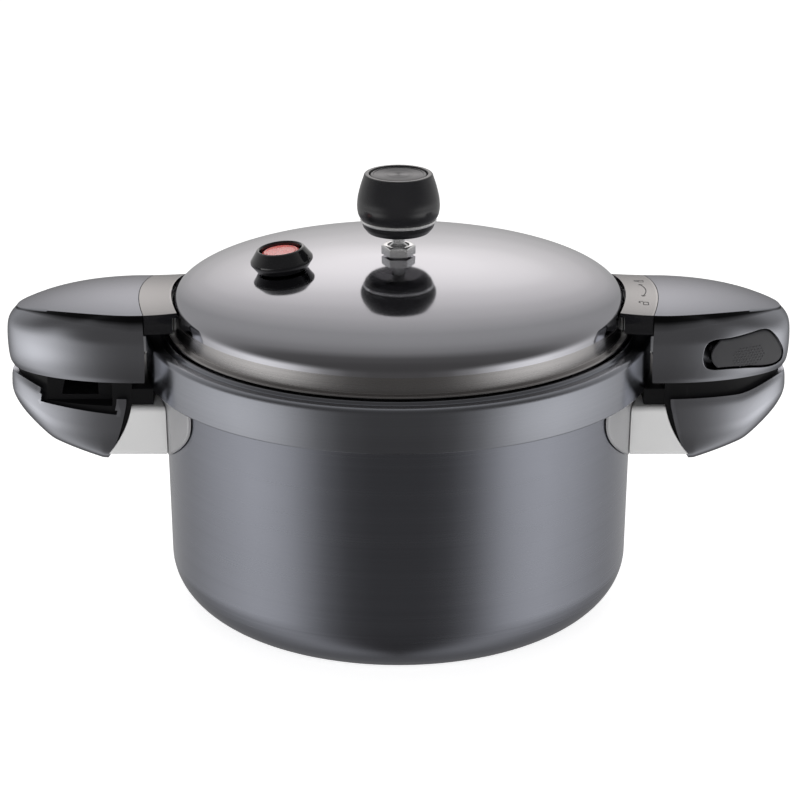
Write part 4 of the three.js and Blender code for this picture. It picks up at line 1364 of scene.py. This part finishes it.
def build_lid():
    hole = 4.8
    dome = [p for p in dome_profile(0, 120) if p[0] > hole + 0.2]
    under = [p for p in dome_profile(3, 60) if p[0] > hole + 0.2]
    band = rounded(
        [
            dome[-1],
            (LID_R, LID_SHOULDER - 1), (LID_R, LID_BAND_Z + 1.2, 0.3),
            (LID_R + 2.9, LID_BAND_Z + 0.9, 0.3), (LID_R + 3.1, LID_BAND_Z + 0.2, 0.3),
            (LID_R + 2.7, LID_BAND_Z - 0.2, 0.2), (LID_NECK, LID_BAND_Z - 1.5, 0.4),
            (LID_NECK, 117.3, 0.4), (94.2, 117.3, 0.3), (94.2, 114.5, 0.6), (91.2, 114.5, 0.6),
            (91.2, 119.3, 1.5), (94, 123.3, 1.5),
            under[-1],
        ],
        5,
    )
    outside = [(hole, LID_APEX - 0.05)] + dome[:-1]
    ceiling = list(reversed(under[:-1])) + [(hole, LID_APEX - 3)]
    lid = turned("lid", outside + band + ceiling, SKIN["dome"], 256)
    lug_reach = cad_span("lid_shell", Y)[1]
    join(lid, lug_ring(LID_NECK - 1.5, lug_reach, 117.3, 121.3, SKIN["dome"]))
    stem_hole = on_dome(turned("hole", [(0, -20), (6.3, -20), (6.3, 20), (0, 20)], SKIN["dome"], 48))
    cut(lid, stem_hole)
    sharpened(lid, 32)
    shoulder = LID_SHOULDER + 0.01
    paint_faces(lid, SKIN["band"], lambda c, n: c.z < shoulder and c.xy.length > 93)
    return finished(lid, "lid", "lid_polished", "lid_shell")


def build_gasket():
    low, high = cad_span("lid_gasket", Z)
    outer = cad_span("lid_gasket", X)[1]
    profile = [
        (94.5, low), (96.4, low, 0.4), (96.9, 114.6, 0.4), (98.6, 114.6, 0.4), (99.1, low, 0.4),
        (100.0, low, 0.3), (outer, 114.4, 0.4), (outer, high, 0.4), (94.5, high, 0.4),
    ]
    gasket = sharpened(turned("gasket", rounded(profile, 4), SKIN["silicone"], 192), 40)
    return finished(gasket, "gasket", "silicone", "lid_gasket")


# ---- vent and weight ----
def hex_nut(name, across, hole, low, high, material):
    radius = across / math.sqrt(3)
    corners = [(radius * math.cos(math.pi / 3 * k), radius * math.sin(math.pi / 3 * k)) for k in range(6)]
    nut = prism(name, corners, low, high, material)
    cone = [
        (0, low - 0.1), (radius + 0.3, low - 0.1), (radius + 0.3, high - 0.75),
        (across / 2 - 0.1, high), (0, high),
    ]
    boolean(nut, turned("cone", cone, material, 64), "INTERSECT")
    cut(nut, turned("bore", [(0, low - 1), (hole, low - 1), (hole, high + 1), (0, high + 1)], material, 48))
    return soften(nut, 0.12, 2, 30)


def build_vent():
    low, high = cad_span("vent_pipe", Z)
    thread = []
    for turn in range(15):
        thread += [(4.5, 149.0 + turn), (4.2, 149.5 + turn)]
    tube = [(4.5, 164.4), (4.5, 168.2), (3.3, 169.1, 0.3), (2.7, 169.8, 0.4)]
    tube += [(2.7, 185.8, 0.6), (1.6, high, 0.3), (1.2, high)]
    profile = [(1.2, low), (4.1, low)] + thread + rounded(tube)
    pipe = sharpened(turned("vent_tube", profile, SKIN["chrome"], 64), 25)
    finished(pipe, "lid", "chrome", "vent_pipe")
    upper = hex_nut("vent_hex", 13.2, 4.8, *cad_span("vent_nut", Z), SKIN["chrome"])
    finished(upper, "lid", "chrome", "vent_nut")
    lower = hex_nut("vent_hex_lower", 14, 4.8, *cad_span("vent_nut_lower", Z), SKIN["screw"])
    finished(lower, "lid", "screw_steel", "vent_nut_lower")
    low, high = cad_span("vent_filter", Z)
    cup = [(0, low), (9, low, 1.2), (9, high, 0.4), (4.8, high, 0.2), (4.8, 155, 0.2)]
    cup += [(7.8, 155, 0.6), (7.8, 144.2, 0.6), (0, 144.2)]
    strainer = turned("strainer", rounded(cup), SKIN["screw"], 64)
    for k in range(6):
        drill = turned("drill", [(0, 141), (1.2, 141), (1.2, 147), (0, 147)], SKIN["screw"], 20)
        angle = math.pi / 3 * k
        place = Vector((4.6 * math.cos(angle), 4.6 * math.sin(angle), 0))
        drill.data.transform(Matrix.Translation(place * MM))
        cut(strainer, drill)
    finished(sharpened(strainer, 35), "lid", "screw_steel", "vent_filter")


def build_weight():
    low, high = cad_span("weight_core", Z)
    core = rounded(
        [
            (0, 188.4), (3.1, 188.4, 0.3), (3.1, low, 0.5), (11, low, 1.5), (13.9, 175.1, 1.5),
            (15.7, 177.4, 1.5), (16.3, 179.3, 0.25), (12.4, 179.3), (12.4, high), (0, high),
        ],
        8,
    )
    body = sharpened(turned("weight_body", core, SKIN["weight"], 128), 35)
    finished(body, "weight", "weight_metal", "weight_core")
    low, high = cad_span("weight_ring", Z)
    band = rounded([(12.7, low), (16.5, low, 0.3), (17.0, 180.35, 0.3), (16.8, high, 0.3), (12.7, high)], 5)
    ring = sharpened(turned("weight_band", band, SKIN["chrome"], 128), 40)
    finished(ring, "weight", "chrome", "weight_ring")
    base, top = cad_span("weight_cap", Z)
    knots = [
        (base, 16.8), (182.3, 17.5), (184, 18.1), (186.8, 18.4), (188.6, 18.3), (190.6, 18.1),
        (193, 17.6), (195.4, 17), (198, 16.2), (200, 15.5),
    ]
    bell = [(curve_through(knots, base + 18.6 * k / 48)[0], base + 18.6 * k / 48) for k in range(49)]
    crown = rounded([bell[-1], (15.1, top - 0.05, 1.0), (13.1, top, 0.35), (12.7, 200.0, 0.2), (0, 200)], 6)
    outline = [(0, 196.3), (12.7, 196.3), (12.7, base)] + bell[:-1] + crown
    cap = sharpened(turned("weight_bell", outline, SKIN["weight"], 128), 35)
    finished(cap, "weight", "weight_black", "weight_cap")
    low, high = cad_span("weight_disc", Z)
    plate = rounded(
        [
            (0, low), (12.4, low, 0.1), (12.4, 201.0, 0.3), (11.3, high, 0.2),
            (11.0, 200.95, 0.2), (0, 200.95),
        ],
        4,
    )
    disc = sharpened(turned("weight_plate", plate, SKIN["weight_disc"], 128), 25)
    finished(disc, "weight", "weight_disc", "weight_disc")


# ---- pressure indicator ----
def build_indicator():
    shell = rounded(
        [
            (3.4, -14), (6, -14, 0.4), (6, 0.6, 0.1), (11.4, 0.6, 0.8), (13.9, 4.2, 0.9),
            (13.85, 5.3, 0.7), (10.6, 9.9, 0.9), (9.7, 10.25, 0.4), (9.2, 9.5, 0.4), (8.9, 5, 0.3),
            (3.4, 5, 0.2),
        ],
        7,
    )
    housing = sharpened(on_dome(turned("indicator_bezel", shell, SKIN["gloss"], 128)), 40)
    finished(housing, "lid", "indicator_black", "indicator_housing")
    nut = on_dome(hex_nut("indicator_hex", 18, 6.3, -8.4, -3.6, SKIN["screw"]))
    finished(nut, "lid", "screw_steel", "indicator_nut")
    stem = rounded(
        [
            (0, -22.4), (4.2, -22.4, 0.4), (4.2, -20.9, 0.2), (3.0, -20.9, 0.1), (3.0, 5.3, 0.2),
            (8.3, 5.3, 0.2), (8.3, 8.3, 0.5), (7.3, 8.95, 0.5), (6.3, 8.6, 0.3), (0, 8.5),
        ],
        5,
    )
    pin = sharpened(on_dome(turned("indicator_button", stem, SKIN["red"], 96)), 35)
    finished(pin, "indicator", "signal_red", "indicator_pin")
    collar = rounded([(3.3, -20.6), (5.4, -20.6, 0.5), (5.4, -18.6, 0.5), (3.3, -18.6)], 4)
    seal = on_dome(turned("indicator_ring", collar, SKIN["silicone"], 64))
    finished(seal, "indicator", "silicone", "indicator_seal")


# ---- lock ----
def thumb_point(p, depth):
    """A place at a depth behind the handle's side, kept clear of the lock pocket's floor."""
    point = front_point(p.x, p.y)
    return Vector((point.x, min(point.y + depth, -9.0), point.z))


def build_slider():
    count = 120
    whole = drawn_in(closed_curve(LOCK_OUTLINE, count), 0.9)
    shifted = [Vector((max(p.x, 134.9 + LOCK_TRAVEL + 3.6 * ((p.y - 125.6) / 6.4) ** 2), p.y)) for p in whole]
    outline = closed_curve([tuple(p) for p in shifted[::3]], count)
    loops = []
    edge = ((0.25, 3.3), (0.1, 2.8), (0, 2.0), (0, 1.0), (0.12, 0.66), (0.42, 0.42), (0.9, 0.34))
    for inward, depth in edge:
        loops.append([thumb_point(p, depth) for p in drawn_in(outline, inward)])
    ring = drawn_in(outline, 0.9)
    centre = sum(ring, Vector((0, 0))) / count
    for share in (0.85, 0.7, 0.55, 0.4, 0.25, 0.1):
        inner = [centre.lerp(p, share) for p in ring]
        loops.append([thumb_point(p, 0.34) for p in inner])
    surface = Patchwork()
    surface.loops(loops, fill=True)
    back = []
    for share in (1, 0.6, 0.25):
        inner = [centre.lerp(p, share) for p in drawn_in(outline, 0.25)]
        back.append([thumb_point(p, 3.3) for p in inner])
    surface.loops(back, fill=True)
    skin = surface.built("lock_thumb", SKIN["slider"])
    dots = []
    pitch = 1.5
    for row in range(7):
        for column in range(10):
            x = 148.2 + pitch * column + (0.5 * pitch if row % 2 else 0)
            z = 119.8 + pitch * 0.87 * row
            if math.hypot((x - 155.4) / 7.6, (z - 123.8) / 4.9) < 1.02:
                dots.append(raised_dot(x, z))
    stem = box("stem", (147, 154), (-22, -12.9), (122, 127), SKIN["slider"])
    return finished(merged("lock_thumb", [skin, stem] + dots), "lock", "slider_grey", "lock_slider")


def raised_dot(x, z):
    centre = front_point(x, z)
    ahead, above = front_point(x + 0.3, z) - centre, front_point(x, z + 0.3) - centre
    normal = ahead.cross(above).normalized()
    if normal.y > 0:
        normal = -normal
    across = ahead.normalized()
    upward = normal.cross(across)
    verts, faces = [], []
    for radius, lift in ((0.46, -0.1), (0.44, 0.12), (0.3, 0.26)):
        for k in range(10):
            angle = math.pi / 5 * k
            side = across * math.cos(angle) * radius + upward * math.sin(angle) * radius
            verts.append(centre + Vector((0, 0.34, 0)) + side + normal * lift)
    for ring in range(2):
        for k in range(10):
            a, b = ring * 10 + k, ring * 10 + (k + 1) % 10
            faces.append((a, b, b + 10, a + 10))
    faces += [tuple(range(20, 30)), tuple(range(9, -1, -1))]
    return make_object("dot", verts, faces, SKIN["slider"])


def build_lock_metal():
    spans = [cad_span("lock_bolt", axis) for axis in (X, Y, Z)]
    bolt = soften(box("lock_bar", *spans, SKIN["screw"]), 0.5, 2)
    finished(bolt, "lock", "screw_steel", "lock_bolt")
    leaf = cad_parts["lock_detent"]
    leaf.data.materials.clear()
    leaf.data.materials.append(SKIN["screw"])


# ---- studio ----
def build_floor():
    size = 6000
    corners = [(-size, -size, 0), (size, -size, 0), (size, size, 0), (-size, size, 0)]
    floor = make_object("floor", corners, [(0, 1, 2, 3)], paper())
    floor.visible_glossy = False


def paper():
    shader = Shader("studio_paper", (0.9, 0.9, 0.9), 0.9)
    shader.tint(shader.noise(shader.place, 3, 2), (0.89, 0.89, 0.89), (0.92, 0.92, 0.92))
    shader.surface.inputs["Emission Color"].default_value = (1, 1, 1, 1)
    shader.surface.inputs["Emission Strength"].default_value = 0.75
    return shader.material


class Sky:
    """The studio round the object, as levels of light in each direction. -Y is the front."""

    def __init__(self):
        self.world = bpy.data.worlds.new("studio")
        bpy.context.scene.world = self.world
        self.world.use_nodes = True
        self.nodes, self.links = self.world.node_tree.nodes, self.world.node_tree.links
        self.nodes.clear()
        self.direction = self.nodes.new("ShaderNodeTexCoord").outputs["Generated"]
        self.split = self.nodes.new("ShaderNodeSeparateXYZ")
        self.links.new(self.direction, self.split.inputs[0])

    def ramp(self, value, low, high, stops):
        """Colours along a value, from (value, colour) stops."""
        share = self.nodes.new("ShaderNodeMapRange")
        self.links.new(value, share.inputs[0])
        share.inputs[1].default_value = low
        share.inputs[2].default_value = high
        node = self.nodes.new("ShaderNodeValToRGB")
        node.color_ramp.interpolation = "CARDINAL"
        self.links.new(share.outputs[0], node.inputs[0])
        while len(node.color_ramp.elements) < len(stops):
            node.color_ramp.elements.new(0.5)
        for element, (place, color) in zip(node.color_ramp.elements, stops):
            element.position = (place - low) / (high - low)
            element.color = (*color, 1) if isinstance(color, tuple) else (color, color, color, 1)
        return node.outputs[0]

    def vector(self, operation, source, other=None):
        node = self.nodes.new("ShaderNodeVectorMath")
        node.operation = operation
        self.links.new(source, node.inputs[0])
        if other:
            node.inputs[1].default_value = other
        return node.outputs["Value" if operation == "DOT_PRODUCT" else "Vector"]

    def level_y(self):
        """The direction's Y once it is turned level: -1 at the front and 1 at the back."""
        flat = self.vector("NORMALIZE", self.vector("MULTIPLY", self.direction, (1, 1, 0)))
        return self.vector("DOT_PRODUCT", flat, (0, 1, 0))

    def mixed(self, factor, a, b, blend="MIX"):
        node = self.nodes.new("ShaderNodeMix")
        node.data_type = "RGBA"
        node.blend_type = blend
        if isinstance(factor, float):
            node.inputs["Factor"].default_value = factor
        else:
            self.links.new(factor, node.inputs["Factor"])
        self.links.new(a, node.inputs["A"])
        self.links.new(b, node.inputs["B"])
        return node.outputs["Result"]

    def background(self, color, strength=1.0):
        node = self.nodes.new("ShaderNodeBackground")
        if isinstance(color, tuple):
            node.inputs[0].default_value = (*color, 1)
        else:
            self.links.new(color, node.inputs[0])
        node.inputs[1].default_value = strength
        return node.outputs[0]

    def chosen(self, factor, a, b):
        node = self.nodes.new("ShaderNodeMixShader")
        for socket, source in zip(node.inputs, (factor, a, b)):
            self.links.new(source, socket)
        return node.outputs[0]


def build_world():
    """Soft boxes at both sides, a glow low behind the object, and darkness toward the front."""
    sky = Sky()
    strength = 2.0
    levels = ((0, 0.06), (16, 0.075), (28, 0.16), (40, 0.42), (52, 0.85), (66, 1.15))
    levels += ((84, 1.1), (118, 0.6), (180, 0.4))
    low = sky.ramp(
        sky.level_y(), -1, 1, [(-math.cos(math.radians(turn)), level / strength) for turn, level in levels]
    )
    above = ((-1, 0.04), (-0.7, 0.06), (-0.3, 0.1), (0, 0.22), (0.3, 0.32), (0.6, 0.4))
    above += ((0.94, 0.36), (1, 0.36))
    high = sky.ramp(sky.split.outputs["Y"], -1, 1, [(place, level / strength) for place, level in above])
    rise = [(-0.25, 0.0), (-0.12, 0.6), (0.0, 0.9), (0.12, 1.0)]
    lift = sky.ramp(sky.split.outputs["Z"], -0.25, 0.12, rise)
    glow = sky.ramp(
        sky.vector("DOT_PRODUCT", sky.direction, (0, math.cos(math.radians(20)), math.sin(math.radians(20)))),
        math.cos(math.radians(30)),
        1,
        [
            (math.cos(math.radians(turn)), tuple(level * tone / strength for tone in (1, 0.955, 0.94)))
            for turn, level in ((30, 0.05), (20, 0.22), (14, 0.4), (9, 0.66), (5, 0.95), (0, 1.05))
        ],
    )
    fall = [(-1, 0.35), (-0.6, 0.5), (-0.47, 0.6), (-0.42, 0.8), (-0.385, 1), (0, 1)]
    ground = sky.ramp(sky.split.outputs["Z"], -1, 0, fall)
    around = sky.mixed(1.0, sky.mixed(lift, low, high), ground, "MULTIPLY")
    studio = sky.background(sky.mixed(1.0, around, glow, "ADD"), strength)
    white = sky.background((1, 1, 1), 1.0)
    kind = sky.nodes.new("ShaderNodeLightPath")
    output = sky.nodes.new("ShaderNodeOutputWorld")
    sky.links.new(sky.chosen(kind.outputs["Is Camera Ray"], studio, white), output.inputs[0])


def build_light(name, place, size, power):
    """A soft box that shapes the shadows and stays out of the reflections."""
    data = bpy.data.lights.new(name, "AREA")
    data.shape = "RECTANGLE"
    data.size, data.size_y = size[0] * MM, size[1] * MM
    data.energy = power
    light = bpy.data.objects.new(name, data)
    light.location = Vector(place) * MM
    light.rotation_euler = (-light.location).to_track_quat("-Z", "Y").to_euler()
    light.visible_glossy = False
    bpy.context.scene.collection.objects.link(light)


def build_camera():
    """The photograph's view: a long lens from the front, looking down at about 20 degrees."""
    distance, elevation, aim = 1300.0, math.radians(19.82), Vector((0, 0, 95.2))
    data = bpy.data.cameras.new("camera")
    data.sensor_width = 36
    data.lens = 129.05
    data.shift_x = 0.0019
    data.clip_start = 0.05
    camera = bpy.data.objects.new("camera", data)
    away = Vector((0, -math.cos(elevation), math.sin(elevation)))
    camera.location = (aim + away * distance) * MM
    camera.rotation_euler = (-away).to_track_quat("-Z", "Y").to_euler()
    bpy.context.scene.collection.objects.link(camera)
    bpy.context.scene.camera = camera


build_camera()
build_world()
build_floor()
build_light("overhead", (0, 150, 900), (900, 700), 2.5)
build_light("front_fill", (0, -900, 300), (900, 500), 5.0)
bpy.context.scene.view_settings.view_transform = "Standard"

build_pot()
for side in ("right", "left"):
    build_flange(side)
    build_bracket(side)
    build_lower_shell(side)
    build_insert(side)
    build_screw("pot", side)
    build_upper_handle(side)
    build_cap(side)
    build_lid_base(side)
    build_lid_bracket(side)
    build_screw("lid", side)
build_lid()
build_icons()
build_gasket()
build_vent()
build_weight()
build_indicator()
build_slider()
build_lock_metal()
